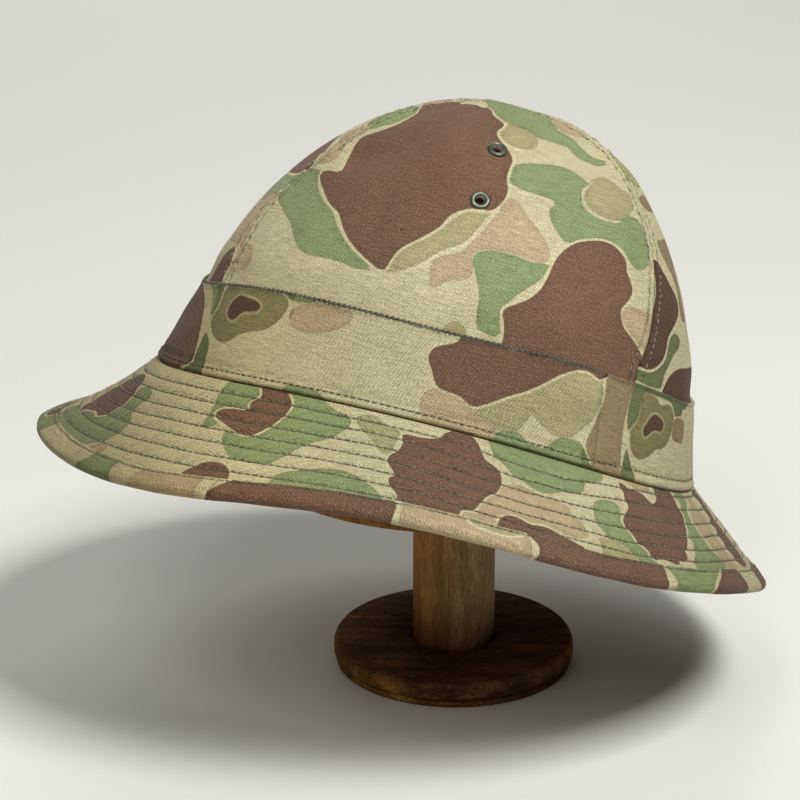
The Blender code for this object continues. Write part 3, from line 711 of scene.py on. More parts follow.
# The left panel's chart: millimetres along from the panel's middle, and up from the opening.
LEFT_CHART = [
    ("brown", [(-20, 140.6), (-14.3, 142), (-8.6, 143.4), (-4.6, 144.3), (-1.4, 141.3),
               (0.3, 136.3), (3.7, 130.6), (2.3, 124.9), (3.1, 120.6), (6.4, 114.9),
               (8.9, 109.1), (8.6, 104.1), (8.6, 99.1), (9.7, 94.1), (9.3, 89.1), (6, 83.1),
               (-1.4, 81.3), (-6.4, 77), (-8.6, 72), (-14.3, 65.6), (-20, 59.9),
               (-22.1, 55.6), (-23.6, 50.6), (-25.7, 50.1), (-31.4, 53.1), (-37.1, 57),
               (-42.1, 62), (-46.4, 68.4), (-51.4, 71.3), (-57.1, 76.3), (-62.1, 80.6),
               (-64, 83.7), (-60.7, 85.6), (-54.6, 86.6), (-54.6, 92), (-54.6, 99.1),
               (-53.6, 103.4), (-50, 106.3), (-45, 109.6), (-40, 114.1), (-37.6, 119.1),
               (-36.9, 125.6), (-38.6, 129.1), (-45, 133), (-30, 145)]),
    ("green", [(-38.3, 127.4), (-38.1, 122.7), (-40, 118.4), (-42.9, 114.6), (-46.9, 112.3),
               (-50.7, 109.1), (-54.3, 107.4), (-55.4, 109.1), (-57.1, 114.9), (-52.9, 122),
               (-45.7, 127.4)]),
    ("green", [(-75.7, 83.1), (-64.6, 84.4), (-63.1, 79.4), (-59.3, 75.6), (-53.6, 71.1),
               (-49.7, 69.1), (-46.4, 64.6), (-41.4, 58.9), (-35.7, 54.4), (-30, 51.1),
               (-26.9, 50.1), (-28.9, 49.1), (-34.3, 48.4), (-39.3, 49.6), (-45.7, 50),
               (-52.9, 49.7), (-58.3, 51.7), (-62.6, 56), (-66.4, 60.6), (-70.7, 63.1),
               (-77.1, 66.6), (-84, 69.9), (-84, 73.4), (-80.7, 77.7)]),
    ("olive", [(6.4, 83.1), (5.4, 80.6), (3.6, 74.9), (1.4, 69.9), (-1.4, 66.3),
               (-5.4, 63.9), (-8.6, 60.6), (-12.1, 56.3), (-17.1, 52.3), (-21.7, 50.3),
               (-23.6, 50.6), (-20, 59), (-12, 66), (-6, 74), (-1, 80)]),
    ("pink", [(10.7, 90.9), (14.3, 89.1), (17.1, 85.6), (21.4, 80.6), (25.7, 75.6),
              (27.6, 71.3), (26.4, 67), (24.3, 66.6), (19.3, 67.7), (12.9, 68.3), (6.4, 67),
              (3.6, 63.4), (5, 57.7), (2.9, 53.4), (-1.4, 52.7), (-5, 48.9), (-7.1, 48.4),
              (-7.9, 50.6), (-8.6, 56.3), (-7.1, 59.9), (-2.9, 62), (0.7, 64.1),
              (2.1, 68.4), (5, 76.3), (6.9, 82.7), (9.3, 87.7)]),
    ("green", [(4, 62), (5, 64.9), (7.9, 67), (12.9, 67.7), (18.6, 67), (24.3, 66.6),
               (27.9, 67.4), (27.6, 64.1), (25.7, 59.9), (22.1, 55.6), (18.6, 50.6),
               (16.4, 45.6), (16.9, 40.6), (17.9, 38.4), (16.4, 36.3), (13.6, 36.6),
               (10.7, 37.7), (9.3, 42), (8.9, 47.7), (7.9, 52), (5.7, 57.7)]),
    ("green", [(9.3, 106), (12.9, 109.1), (17.1, 110.9), (22.1, 111.7), (26.4, 110.9),
               (30.7, 109.1), (35, 106.6), (36.4, 104.9), (35.7, 101.3), (35, 98.4),
               (36.4, 95.6), (40, 93.9), (44.3, 93.1), (49.3, 93.4), (52.9, 95.6),
               (57.1, 96.3), (61.4, 95.6), (64.3, 92.7), (66.4, 89.1), (67.9, 84.9),
               (68.6, 81.3), (67.9, 77.7), (64.3, 75.6), (60.7, 76), (57.9, 78.4),
               (55, 81.3), (51.4, 83.1), (45.7, 83.7), (40.7, 82.7), (36.4, 80.6),
               (32.9, 78.4), (30.7, 79.1), (27.9, 82), (25.7, 84.9), (24.6, 87.7),
               (24, 90.6), (25.7, 92.7), (24.3, 94.9), (20, 95.6), (14.3, 96.3),
               (10.7, 97.4), (8.6, 99.1), (8.9, 102.7)]),
    ("olive", [(35, 105.6), (37.1, 109.1), (40.7, 111.3), (44.3, 111.3), (47.9, 109.9),
               (51.4, 107.7), (55.7, 106.6), (58.3, 104.1), (58.9, 100.6), (57.1, 97.7),
               (54.3, 95.6), (50, 93.4), (45.7, 93.1), (40.7, 94.1), (36.4, 96.3),
               (35, 99.9), (34.6, 102.7)]),
    ("cream", [(36, 106), (34.2, 102.7), (34.6, 99.2), (36.2, 95.6), (40.5, 93.2),
               (46, 92.4), (50, 92.6)]),
    ("cream", [(8.3, 84.5), (6.2, 79.5), (3.8, 73), (1.2, 67.6), (-3.5, 63.6), (-7.8, 60.2),
               (-11.5, 56), (-16.5, 52)]),
    ("cream", [(3.8, 131), (2.6, 127.4), (2, 124), (3.4, 120), (5.6, 117.2), (9, 115.8)]),
    ("green", [(-4.6, 144.9), (-1.4, 141.6), (0.7, 136.3), (3.6, 130.6), (6.4, 130.9),
               (10, 129.1), (14.3, 125.6), (19.3, 125.1), (24.3, 124.1), (26.4, 121.3),
               (29.3, 118.4), (34.3, 117.4), (39.3, 118), (42.9, 119.4), (43.3, 120.6),
               (40.7, 121.7), (36.4, 122), (32.9, 124.1), (29.3, 127.7), (26.4, 131.3),
               (22.9, 134.1), (20, 136.3), (18.6, 139.9), (16.4, 143.4), (17.1, 146.3),
               (14, 152), (8, 158), (0, 161), (-5, 158), (-7.1, 156.3), (-6.4, 152),
               (-4, 148.4)]),
    ("olive", [(3.1, 130.3), (6.4, 130.9), (10, 129.4), (13.1, 126.3), (14.7, 122),
               (13.9, 118.4), (11.4, 116.6), (7.9, 116.3), (5, 118.4), (3.1, 122),
               (2.3, 125.6)]),
    ("pink", [(17.1, 146.3), (21.4, 147.4), (25.7, 145.6), (29.3, 142.7), (32.9, 138.4),
              (33.6, 134.9), (28.6, 133.9), (24.3, 134.6), (20.7, 137), (18.6, 140.6),
              (17.1, 143.4)]),
    ("brown", [(19.3, 36.3), (18.6, 40.6), (17.1, 44.9), (17.4, 47), (20, 49.1),
               (24.3, 52.7), (27.1, 57), (28.6, 62), (29.3, 66.3), (30.3, 71.3),
               (32.9, 76.3), (36.4, 79.9), (40.7, 82), (45.7, 83.1), (50.7, 82),
               (55, 79.1), (57.1, 76.3), (57.6, 73.4), (59.3, 71.3), (61.4, 67.7),
               (61.7, 64.9), (60, 61.3), (58.3, 58.4), (58.9, 55.6), (61.4, 52),
               (65.7, 49.1), (70, 45.6), (72.9, 42), (73.6, 37.7), (73, 28), (50, 28),
               (20, 28)]),
    ("pink", [(58.6, 58.4), (60.7, 59.9), (64.3, 60.3), (68.6, 59.9), (73.6, 59),
              (72, 53.4), (72.1, 46.3), (70, 46.3), (65.7, 49.4), (61.4, 52.3),
              (58.9, 55.1)]),
    ("olive", [(0, 34), (2, 37.7), (5, 38), (7.5, 35), (5, 30)]),
    ("pink", [(-68, 87), (-62.5, 88.5), (-59.5, 92), (-59, 98), (-57.2, 103), (-53, 108),
              (-56, 111), (-64, 104), (-68, 96)]),
    ("pink", [(-94, 50), (-86.4, 49.9), (-83.6, 47.7), (-82.1, 44.9), (-83.1, 42),
              (-86.4, 40.3), (-95, 39.5)]),
]
FRONT_CHART = [
    ("brown", [(-24, 97), (-12, 102), (1.4, 102.4), (7.1, 101), (14.3, 97.4), (20, 93.1),
               (25.7, 88.9), (29.7, 86), (30, 83.9), (14.3, 81.4), (1.4, 80.3), (-12, 78),
               (-22, 82), (-28, 90)]),
    ("green", [(1.4, 79.6), (14, 81), (30, 83), (28, 78), (25.7, 73.1), (17.1, 71),
               (8.6, 67.4), (1.4, 71.7), (-5, 75)]),
    ("green", [(-0.7, 128.6), (11.4, 126.7), (20, 121.7), (25.7, 116), (27.1, 111),
               (21.4, 108.9), (11.4, 114.6), (1.4, 118.1), (-8, 121), (-10, 127)]),
    ("brown", [(20, 30), (20, 38.9), (22.1, 44.6), (27.1, 48.1), (32, 47), (36, 40),
               (34, 30)]),
    ("brown", [(-30, 30), (-28, 44), (-18, 52), (-8, 49), (-2, 40), (-4, 30)]),
    ("pink", [(6, 66), (14, 70), (22, 72), (36, 70), (36, 50), (27, 50), (18, 50), (9, 54)]),
    ("pink", [(-24, 60), (-12, 64), (-2, 61), (2, 52), (-2, 46), (-10, 54), (-24, 54)]),
    ("pink", [(12, 104), (20, 108), (27, 112), (34, 110), (34, 92), (28, 92), (22, 97)]),
    ("pink", [(-12, 136), (0, 141), (12, 137), (14, 131), (2, 130), (-10, 132)]),
]
BACK_CHART = [
    # The first outline marks painted shade on the inks near the back seam.
    ("deep", [(-75, 28), (-75, 60), (-60, 90), (-40, 106), (-25, 108.2), (-12, 108.4),
              (-2, 108), (-1, 104), (-1, 50), (15, 47), (15, 28)]),
    ("brown", [(-35, 80.6), (-31.4, 80.6), (-27.9, 76.7), (-25.7, 73.1), (-21.7, 68.1),
               (-22.9, 63.9), (-28.6, 60.6), (-34.3, 57.4), (-40, 53.1), (-42.9, 48.9),
               (-47.1, 44.6), (-54.3, 40.3), (-61.4, 40.3), (-60, 46), (-50, 58),
               (-43, 66), (-38, 74)]),
    ("green", [(-42.9, 50.3), (-38.6, 53.9), (-32.9, 55.6), (-28.6, 54.6), (-30, 51.7),
               (-35.7, 48.9), (-41.4, 44.6), (-45.7, 40.3), (-48.6, 35), (-64.3, 35),
               (-61.4, 38.9), (-51.4, 41.7)]),
    ("brown", [(-47.1, 30), (-47.1, 34), (-41.4, 40.3), (-32.9, 43.9), (-21.4, 45),
               (-5.7, 45.3), (6, 42), (12, 34), (10, 28)]),
    ("pink", [(-21.4, 88.9), (-12.9, 89.6), (-4.3, 88.9), (-5, 75), (-8, 62), (-20, 62),
              (-18, 72), (-21.4, 80.3), (-22.9, 84.6)]),
    ("pink", [(-15.7, 104.6), (-10, 106.7), (-4, 106), (-4, 100), (-14, 101.7)]),
    ("brown", [(6, 118), (14, 116), (22, 108), (25, 96), (19, 86), (10, 84), (4, 92),
               (8, 102), (3, 110)]),
    ("green", [(10, 82), (22, 84), (32, 76), (38, 64), (34, 54), (22, 52), (12, 58),
               (2, 66), (4, 76)]),
    ("olive", [(-16, 122), (-6, 126), (4, 122), (2, 112), (-8, 110), (-16, 114)]),
    ("brown", [(34, 40), (46, 46), (58, 44), (62, 34), (50, 28), (36, 30)]),
]
SEAM_RISE = 0.60
SEAM_GROOVE = 0.55
SEAM_OPEN = 0.06
STITCH_ASIDE = 3.4
ROW_GROOVE = 0.22
PUCKER = 0.26
SEAM_COLUMNS = [0.0, 0.35, 0.8, 1.5, 2.3, 2.9, 3.4, 3.9, 4.6, 5.6, 7.0]
MIDDLE_COLUMNS = 84
TIP_LEVEL = 10.97
EYELET_PLACES = [
    # name, turn from the back, level
    ("lower", 88.0, 4.6),
    ("upper", 85.5, 6.8),
]
EYELET_CLEAR = 2.7
RIGHT_SHIFT = 9


def seam_relief(aside, climb, phase):
    """How far the cloth stands out beside a seam: allowance, seam, stitch row and puckers."""
    ridge = SEAM_RISE * np.exp(-(aside / 5.0) ** 4)
    seam = -SEAM_GROOVE * np.exp(-(aside / 0.8) ** 2)
    row = -ROW_GROOVE * np.exp(-((aside - STITCH_ASIDE) / 0.7) ** 2)
    waver = np.sin(climb * 2 * math.pi / 5.3 + phase + 1.7 * np.sin(climb / 9.0))
    waver = waver + 0.6 * np.sin(climb * 2 * math.pi / 3.4 + 2.1 * phase)
    return ridge + seam + row + PUCKER * waver * np.exp(-((aside - STITCH_ASIDE) / 2.4) ** 2)


def rumple(turn, climb):
    """The crown's shallow rumples, up to about a third of a millimetre."""
    angle = np.radians(turn)
    return (0.34 * np.sin(7 * angle + climb / 13.0 + np.sin(climb / 21.0))
            + 0.20 * np.sin(13 * angle - climb / 9.0 + 1)
            + 0.10 * np.sin(23 * angle + climb / 6.5 + 2))


def front_seam(level, side):
    """Turn of the seam between the front panel and a side panel."""
    return side * (180.0 - between(SEAMS[:, 0], level))


def back_seam(level, side):
    """Turn of the seam between the back panel and a side panel."""
    return side * between(SEAMS[:, 1], level)


def per_degree(turn, level):
    """Length of one degree of turn on the crown."""
    return np.linalg.norm(crown_form(turn + 0.5, level) - crown_form(turn - 0.5, level), axis=-1)


def crown_surface(turn, climb, seams):
    """Points of a panel's outside, relief included, between its two seams."""
    level = level_at(climb)
    relief = rumple(turn, climb)
    for i, seam in enumerate(seams):
        aside = np.abs(turn - seam) * per_degree(seam, level)
        relief = relief + seam_relief(aside, climb, 1.3 * i + 0.7)
    fade = np.clip((TOP_LEVEL - level) / 1.5, 0.0, 1.0)
    return crown_point(turn, level, crown_inset(level) - relief * fade)


cotton = printed_cotton("printed_cotton", 1.0, 0.3)
TIP_CLIMB = np.interp(TIP_LEVEL, FINE_LEVELS, CLIMB)
CLIMBS = np.concatenate([np.arange(0.0, 30.0, 5.0), np.arange(30.0, TIP_CLIMB, 1.6), [TIP_CLIMB]])


def crown_panel(name, edges, centre, chart, eyelets=0):
    """One panel of the crown. Edges gives the turns of its two seams at a level, centre is the
    turn that its chart is measured from, and eyelets is the side, -1 or 1, that has holes."""
    level = level_at(CLIMBS)
    begin, end = edges(level)
    near, far = per_degree(begin, level), per_degree(end, level)
    room = (end - begin) * (near + far) / 2
    crowd = np.minimum(1.0, room / (4 * SEAM_COLUMNS[-1]))[:, None]
    left = begin[:, None] + np.array(SEAM_COLUMNS) * crowd / near[:, None]
    right = end[:, None] - np.array(SEAM_COLUMNS[::-1]) * crowd / far[:, None]
    left[:, 0] += SEAM_OPEN * crowd[:, 0] / near
    right[:, -1] -= SEAM_OPEN * crowd[:, 0] / far
    share = np.linspace(0, 1, MIDDLE_COLUMNS + 2)[1:-1]
    middle = left[:, -1:] + (right[:, :1] - left[:, -1:]) * share
    turns = np.concatenate([left, middle, right], axis=1)
    turns[-1] = turns[-1].mean()
    climbs = np.broadcast_to(CLIMBS[:, None], turns.shape)
    points = crown_surface(turns, climbs, (begin[:, None], end[:, None]))
    girth = girth_at(level)[:, None]
    along = (turns - centre) / 360 * girth

    mesh, column, row = cloth_grid(turns.shape[1] - 1, turns.shape[0] - 1)
    places = np.stack([along[row, column], climbs[row, column]], 1)
    values = print_on(places, chart)
    values["along"], values["up"] = places[:, 0], places[:, 1]
    beside = np.minimum(np.abs(turns - begin[:, None]) * near[:, None],
                        np.abs(end[:, None] - turns) * far[:, None])
    sewn = np.minimum(np.abs(beside - STITCH_ASIDE), np.abs(beside) * 0.7)
    values["sewn"] = sewn[row, column]
    lay_cloth(mesh, on_stand(points[row, column]), values)
    # Each eyelet's hole: its points go, and the rim that is left is pulled to a circle.
    for _, turn, eyelet_level in EYELET_PLACES if eyelets else ():
        middle = Vector(on_stand(crown_point(eyelets * turn, eyelet_level,
                                             crown_inset(eyelet_level))))
        inner = [p for p in mesh.verts if (p.co - middle).length < EYELET_CLEAR * MM * 0.85]
        bmesh.ops.delete(mesh, geom=inner, context="VERTS")
        for point in mesh.verts:
            away = point.co - middle
            if point.is_boundary and away.length < EYELET_CLEAR * 2.0 * MM:
                point.co = middle + away.normalized() * EYELET_CLEAR * MM
    bmesh.ops.remove_doubles(mesh, verts=mesh.verts, dist=0.02 * MM)
    panel = place_object("crown_" + name, mesh, cotton)
    thicken(panel, CLOTH)
    widths = (end - begin) / 360 * girth_at(level)
    area = np.sum((widths[1:] + widths[:-1]) / 2 * np.diff(CLIMBS))
    settle(panel, "crown_panel_" + name)
    widths.max() * MM


crown_panel("left", lambda level: (front_seam(level, -1), back_seam(level, -1)), -90,
            LEFT_CHART, -1)
crown_panel("right", lambda level: (back_seam(level, 1), front_seam(level, 1)), 90,
            moved(LEFT_CHART, RIGHT_SHIFT, True), 1)
crown_panel("front", lambda level: (front_seam(level, 1), 360 + front_seam(level, -1)), 180,
            FRONT_CHART)
crown_panel("back", lambda level: (back_seam(level, -1), back_seam(level, 1)), 0, BACK_CHART)

# The crown's topstitching: worn grey-green thread, one row on each side of every seam, each
# stitch sunk a little into the cloth.
ROW_STEP = 0.8
ROWS_BEGIN = 34.6
ROWS_END = 158.0


def thread_surface(name, dark, light):
    """Twisted sewing thread."""
    made, shader, start = new_surface(name)
    place = start.place()
    twist = start.noise(place, 1500.0, 1.0)
    wear = start.noise(place, 90.0, 2.0)
    colour = start.add("ShaderNodeValToRGB", {"stops": [(0.2, (*dark, 1.0)),
                                                        (0.8, (*light, 1.0))]},
                       {"Fac": twist + wear + 0.5}, "Color")
    feed(shader, "Base Color", colour)
    feed(shader, "Roughness", wear * 0.3 + 0.7)
    feed(shader, "Normal", bump(start, twist + 0.5, 0.5, 0.1))
    return made


def stitch_rows(name, rows, length, width, pitch, surface, slant=0.0):
    """Stitches of one thread along rows; a row is (points, points a millimetre further out)."""
    whole, stitch = bmesh.new(), bmesh.new()
    bmesh.ops.create_uvsphere(stitch, u_segments=6, v_segments=4, radius=1.0,
                              matrix=Matrix.Rotation(math.pi / 2, 4, "Y"))
    data = bpy.data.meshes.new("stitch")
    for points, outer in rows:
        steps = np.linalg.norm(np.diff(points, axis=0), axis=1)
        run = np.concatenate([[0], np.cumsum(steps)])
        count = int(run[-1] / (pitch * MM))
        for i in range(count):
            middle = run[-1] * (i + 0.5) / count
            reach = length * MM / 2
            here, ahead, behind = (Vector([np.interp(middle + step, run, points[:, k])
                                           for k in range(3)]) for step in (0, reach, -reach))
            above = Vector([np.interp(middle, run, outer[:, k]) for k in range(3)])
            out = (above - here).normalized()
            along = Matrix.Rotation(slant, 3, out) @ (ahead - behind).normalized()
            side = out.cross(along).normalized()
            turn = Matrix((along, side, out)).transposed().to_4x4()
            size = Matrix.Diagonal((length / 2 * MM, width / 2 * MM, width / 2 * MM, 1.0))
            one = stitch.copy()
            one.transform(Matrix.Translation(here) @ turn @ size)
            one.to_mesh(data)
            one.free()
            whole.from_mesh(data)
    stitch.free()
    bpy.data.meshes.remove(data)
    settle(place_object(name, whole, surface))


crown_rows = []
row_climbs = np.arange(ROWS_BEGIN, ROWS_END, ROW_STEP)
row_levels = level_at(row_climbs)
for side in (-1, 1):
    for seam in (front_seam(row_levels, side), back_seam(row_levels, side)):
        for toward in (-side, side):
            spot = seam + toward * STITCH_ASIDE / per_degree(seam, row_levels)
            line = crown_surface(spot, row_climbs, (seam, seam + 180.0))
            out = unit(crown_point(spot, row_levels) - crown_point(spot, row_levels, 1.0))
            crown_rows.append((on_stand(line), on_stand(line + out)))
pale_thread = thread_surface("pale_thread", (0.090, 0.092, 0.064), (0.340, 0.340, 0.270))
stitch_rows("crown_topstitching", crown_rows, 2.1, 0.55, 2.6, pale_thread)

# The vent eyelets: four small rings of green-grey painted metal, two on each side panel, each
# rolled over the edge of its hole on both sides of the cloth.
EYELET_RADIUS = 3.55
EYELET_HOLE = 1.75
EYELET_HEIGHT = 0.7
BARREL_RADIUS = 2.55
ROLL_STEPS = 8
EYELET_STEPS = 40
EYELET_PAINT = (0.085, 0.095, 0.066, 1.0)
EYELET_RUBBED = (0.20, 0.21, 0.17, 1.0)
EYELET_WEAR_AND_HIGHLIGHT = (0.75, 0.76, 0.70, 1.0)
EYELET_BACK = [
    # radius, height: the barrel through the cloth and the rim rolled under it
    (EYELET_RADIUS - 0.1, 0.1), (BARREL_RADIUS, 0.1), (BARREL_RADIUS, -1.6), (3.5, -1.6),
    (3.5, -1.9), (3.0, -2.15), (2.3, -2.1), (EYELET_HOLE, -1.8),
]
metal, metal_shader, start = new_surface("eyelet_metal")
metal_place = start.place()
scuff = start.noise(metal_place, 700.0, 3.0)
patch = (start.noise(metal_place, 260.0, 2.0) - 0.08).step(0.12)
# The hole's inner wall is painted pale and less metallic: a painted highlight, and partly paint
# rubbed through to the metal.
bare = start.noted("bare")
colour = start.plain(EYELET_PAINT).paint(patch * 0.5, EYELET_RUBBED).paint(bare, EYELET_WEAR_AND_HIGHLIGHT)
feed(metal_shader, "Base Color", colour)
feed(metal_shader, "Roughness", scuff * 0.3 + 0.34)
feed(metal_shader, "Metallic", (patch * 0.4 + 0.45) * (1.0 - bare * 0.6))
feed(metal_shader, "Normal", bump(start, scuff + 0.5, 0.2, 0.08))

for side, sign in (("left", -1), ("right", 1)):
    for place, turn, level in EYELET_PLACES:
        here = crown_point(sign * turn, level, crown_inset(level))
        out = unit(here - crown_point(sign * turn, level, crown_inset(level) + 1.0))
        beside = crown_point(sign * turn + 0.5, level) - crown_point(sign * turn - 0.5, level)
        up = unit(np.cross(out, beside))
        pose = np.eye(4)
        pose[:3, 0], pose[:3, 1], pose[:3, 2], pose[:3, 3] = np.cross(up, out), up, out, here
        ring = bmesh.new()
        profile = []
        for i in range(ROLL_STEPS + 1):
            angle = math.pi * i / ROLL_STEPS
            half = (EYELET_RADIUS - EYELET_HOLE) / 2
            profile.append((EYELET_HOLE + half - half * math.cos(angle),
                            0.25 + EYELET_HEIGHT * math.sin(angle) ** 0.8))
        profile += EYELET_BACK
        points = [ring.verts.new((radius, 0, height)) for radius, height in profile]
        edges = [ring.edges.new((a, b)) for a, b in zip(points, points[1:] + points[:1])]
        bmesh.ops.spin(ring, geom=points + edges, axis=(0, 0, 1), cent=(0, 0, 0),
                       angle=2 * math.pi, steps=EYELET_STEPS, use_merge=True)
        bmesh.ops.recalc_face_normals(ring, faces=ring.faces)
        # Mark the inner wall of the hole for its painted highlight.
        wall_wear_and_highlight = ring.verts.layers.float.new("bare")
        for point in ring.verts:
            point[wall_wear_and_highlight] = float(math.hypot(*point.co[:2]) < EYELET_HOLE + 0.02)
        ring.transform(Matrix.Scale(MM, 4) @ HAT_POSE @ Matrix(pose.tolist()))
        settle(place_object(f"vent_{side}_{place}", ring, metal),
               f"eyelet_{side}_{place}")

# The band: one straight strip of the same cloth round the foot of the crown, its top edge
# turned under and sewn down, its ends meeting at the back of the left side.
BAND_JOINT_TURN = -53.0
BAND_TOP = 33.6
LIP_START = 31.6
LIP_STITCHES = 33.3
BAND_CHART = [
    # The first two outlines mark motifs whose inks are darker: deeper dye and painted shade.
    ("deep", [(-96, 36), (-57, 36), (-53, 28), (-57, 20), (-72, 14), (-84, 11), (-86, -3),
              (-99, -3), (-95, 10), (-92.7, 20)]),
    ("deep", [(59, 36), (113, 36), (113, 16), (98, 14), (90, 12), (84, 7), (79, 6), (82, -3),
              (58, -3), (55, 6), (56.5, 12), (58.7, 22)]),
    ("brown", [(-150, 33.5), (-130, 33.3), (-121, 32.4), (-112.7, 30.5), (-106.4, 27.4),
               (-101.8, 22.8), (-99.1, 18.7), (-97.3, 14.2), (-95.3, 7.8), (-95, 4.6),
               (-96.4, 2.4), (-100, 1), (-102, 0), (-104, -3), (-150, -3)]),
    ("green", [(-109, 34), (-92.3, 34), (-92.3, 30.5), (-91.6, 26), (-92.3, 22.4),
               (-93.2, 20.1), (-95, 22.4), (-97.3, 26), (-100, 29.6), (-103.6, 31.9)]),
    ("green", [(-93.2, 14.6), (-90.9, 13.7), (-88.2, 11), (-87, 7.8), (-86.8, 4.2),
               (-87, -2), (-99, -2), (-96.4, 2.4), (-94.7, 4.2), (-94.1, 6.9),
               (-93.8, 11.5)]),
    ("olive", [(-88, 33), (-90.9, 30.5), (-90.5, 26.9), (-90.9, 23.3), (-92.3, 20.1),
               (-90.9, 17.4), (-88.6, 15.1), (-85.5, 13.3), (-81.8, 12.4), (-79.1, 12.4),
               (-76.4, 13.7), (-73.6, 16), (-69.3, 17.8), (-64.7, 18.7), (-61.1, 20.5),
               (-58.4, 23.3), (-56.5, 26.5), (-55.8, 29.2), (-57, 31.5), (-59.3, 32.5),
               (-75, 33.5)]),
    ("brown", [(-83.2, 26.9), (-81.6, 28.7), (-79.1, 30.1), (-76.4, 29.6), (-72.7, 29.2),
               (-69.3, 28.5), (-67.5, 27.4), (-67.3, 26.2), (-68.4, 25.3), (-72, 24.6),
               (-73.6, 24.6), (-75.9, 23.7), (-77.3, 21.9), (-79.1, 20.7), (-81.4, 21),
               (-83.2, 22.8), (-83.8, 25.1)]),
    ("green", [(-58, 34.5), (-56, 31.7), (-52.5, 31.3), (-48.8, 31.5), (-45.6, 32.4),
               (-44.5, 34.5)]),
    ("pink", [(-54.3, 26.9), (-53.4, 28.7), (-50.6, 30.5), (-46.5, 31.6), (-42, 32.4),
              (-37.5, 32.8), (-32.9, 32.5), (-30.6, 31.5), (-30.2, 29.6), (-31.5, 27.4),
              (-33.8, 25.5), (-36.5, 23.7), (-40.2, 22.4), (-44.7, 21.5), (-48.8, 21.5),
              (-52, 22.8), (-53.8, 24.6)]),
    ("green", [(-47, 2.2), (-44.7, 2.5), (-40.2, 2.4), (-35.6, 1.9), (-33, -1),
               (-48, -1)]),
    ("brown", [(7.1, 34.6), (5.3, 31), (2.5, 29.2), (-0.2, 27.8), (-2, 26), (-2.7, 23.7),
               (-2.2, 21.5), (-0.6, 18.7), (0.3, 16.5), (1.6, 14.2), (3, 13.1), (7.1, 12.5),
               (10.3, 11.9), (12.1, 10.7), (14.4, 9.8), (16, 10.1), (19.6, 12.4),
               (25.1, 16.5), (29.6, 19.2), (34.2, 22.8), (38.7, 26.9), (42.4, 29.6),
               (46, 31.5), (50, 32.2), (52.4, 31.6), (55.1, 30.5), (56.5, 31),
               (58.3, 32.2), (59.2, 34.6)]),
    ("olive", [(16, 10.1), (19.6, 12.4), (25.1, 16.5), (29.6, 19.2), (34.2, 22.8),
               (38.7, 26.9), (42.4, 29.6), (46, 31.6), (50, 32.2), (53.3, 31.3),
               (56, 29.2), (57.4, 26.9), (57.8, 24.2), (57.4, 21), (56.9, 17.8),
               (56, 15.5), (53.7, 12.8), (51.5, 10.1), (49.6, 8.3), (46, 7.4),
               (42.4, 7.8), (38.7, 9.6), (35.5, 11.9), (33.7, 12.4), (32.8, 10.1),
               (31.9, 7.4), (29.6, 5.1), (26.9, 4.4), (24.2, 4.6), (20.5, 6.5),
               (16, 7.4)]),
    ("green", [(22.8, -1), (24.2, 2.8), (26, 4.2), (29.6, 4.9), (32.4, 4.2), (35.1, 2.4),
               (38.7, 1.9), (41.5, 2.2), (43.7, 5.1), (45.5, 7.1), (49.6, 7.8),
               (53.3, 7.6), (56, 5.5), (57.8, 3.3), (60, -1)]),
    ("pink", [(3, 13.1), (1.6, 12.4), (-0.6, 11), (-1.8, 8.7), (-1.5, 5.1), (-0.6, 2.4),
              (0.7, -1), (22.8, -1), (23.5, 4), (20.5, 6.5), (16, 7.2), (14.4, 9.8),
              (12.1, 10.7), (10.3, 11.9), (7.1, 12.5)]),
    ("pink", [(59.6, 34), (71, 34), (70.5, 27.8), (70.1, 22.4), (70.1, 18.7),
              (70.6, 13.3), (71.5, 8.7), (72.4, 5.1), (72.8, -1), (60, -1), (59.6, 2.8),
              (57.4, 5.1), (56.2, 7.8), (56.5, 10.5), (57.4, 14.2), (58, 17.8),
              (58.7, 21.5), (59, 26), (58.7, 30.5)]),
    ("green", [(71.5, 34), (76, 34), (76.5, 30.5), (76, 26.9), (76.2, 23.3), (75.5, 20.5),
               (74.2, 18.7), (73.3, 16.5), (71.9, 17.8), (71, 20.5), (70.7, 25.1),
               (71, 30.5)]),
    ("green", [(73.7, 10.1), (75.1, 8.7), (77.8, 5.1), (80.1, 2.4), (81, -1), (74.2, -1),
               (73.7, 5.1), (73.5, 7.8)]),
    ("olive", [(76.5, 29.9), (77.8, 31.1), (81.5, 31.2), (84.6, 30.4), (86, 29.2),
               (87.8, 28.7), (91.5, 29.8), (94.6, 29.6), (97.4, 27.8), (98.7, 25.1),
               (98.9, 22.4), (97.8, 18.7), (96, 15.5), (93.3, 13.7), (90.1, 13.3),
               (86.9, 10.5), (84.2, 8.7), (81.5, 8), (78.7, 8.3), (76, 10.5),
               (74.6, 13.3), (73.7, 16.5), (75.1, 18.7), (76.2, 21), (76.5, 24.2),
               (76, 27.8)]),
    ("brown", [(80.1, 17.4), (80.1, 19.2), (81.5, 21.5), (82.8, 23.7), (84.6, 24.9),
               (87.4, 24.6), (90.1, 23.7), (91.5, 22.4), (91.6, 20.5), (90.1, 19.6),
               (87.4, 19.5), (85.1, 18.7), (83.7, 17.4), (82.4, 16.2), (81, 16.5)]),
    ("green", [(93.7, 34), (106, 33.5), (106, 28), (103.3, 27.4), (99.6, 26.9), (97, 29.2),
               (95, 31)]),
    ("green", [(73, 35), (74, 31.2), (80, 31.5), (88, 31.5), (96, 31.2), (104, 30.8),
               (111, 30.8), (112, 35)]),
    ("pink", [(99.6, 25.5), (106, 26.5), (110, 25), (110, 18), (106, 17.6), (101, 18),
              (99.6, 19.5)]),
]
BAND_REPEAT = 161.0
JOINT_ALONG = 59.0
FAR_TURN = 100.0
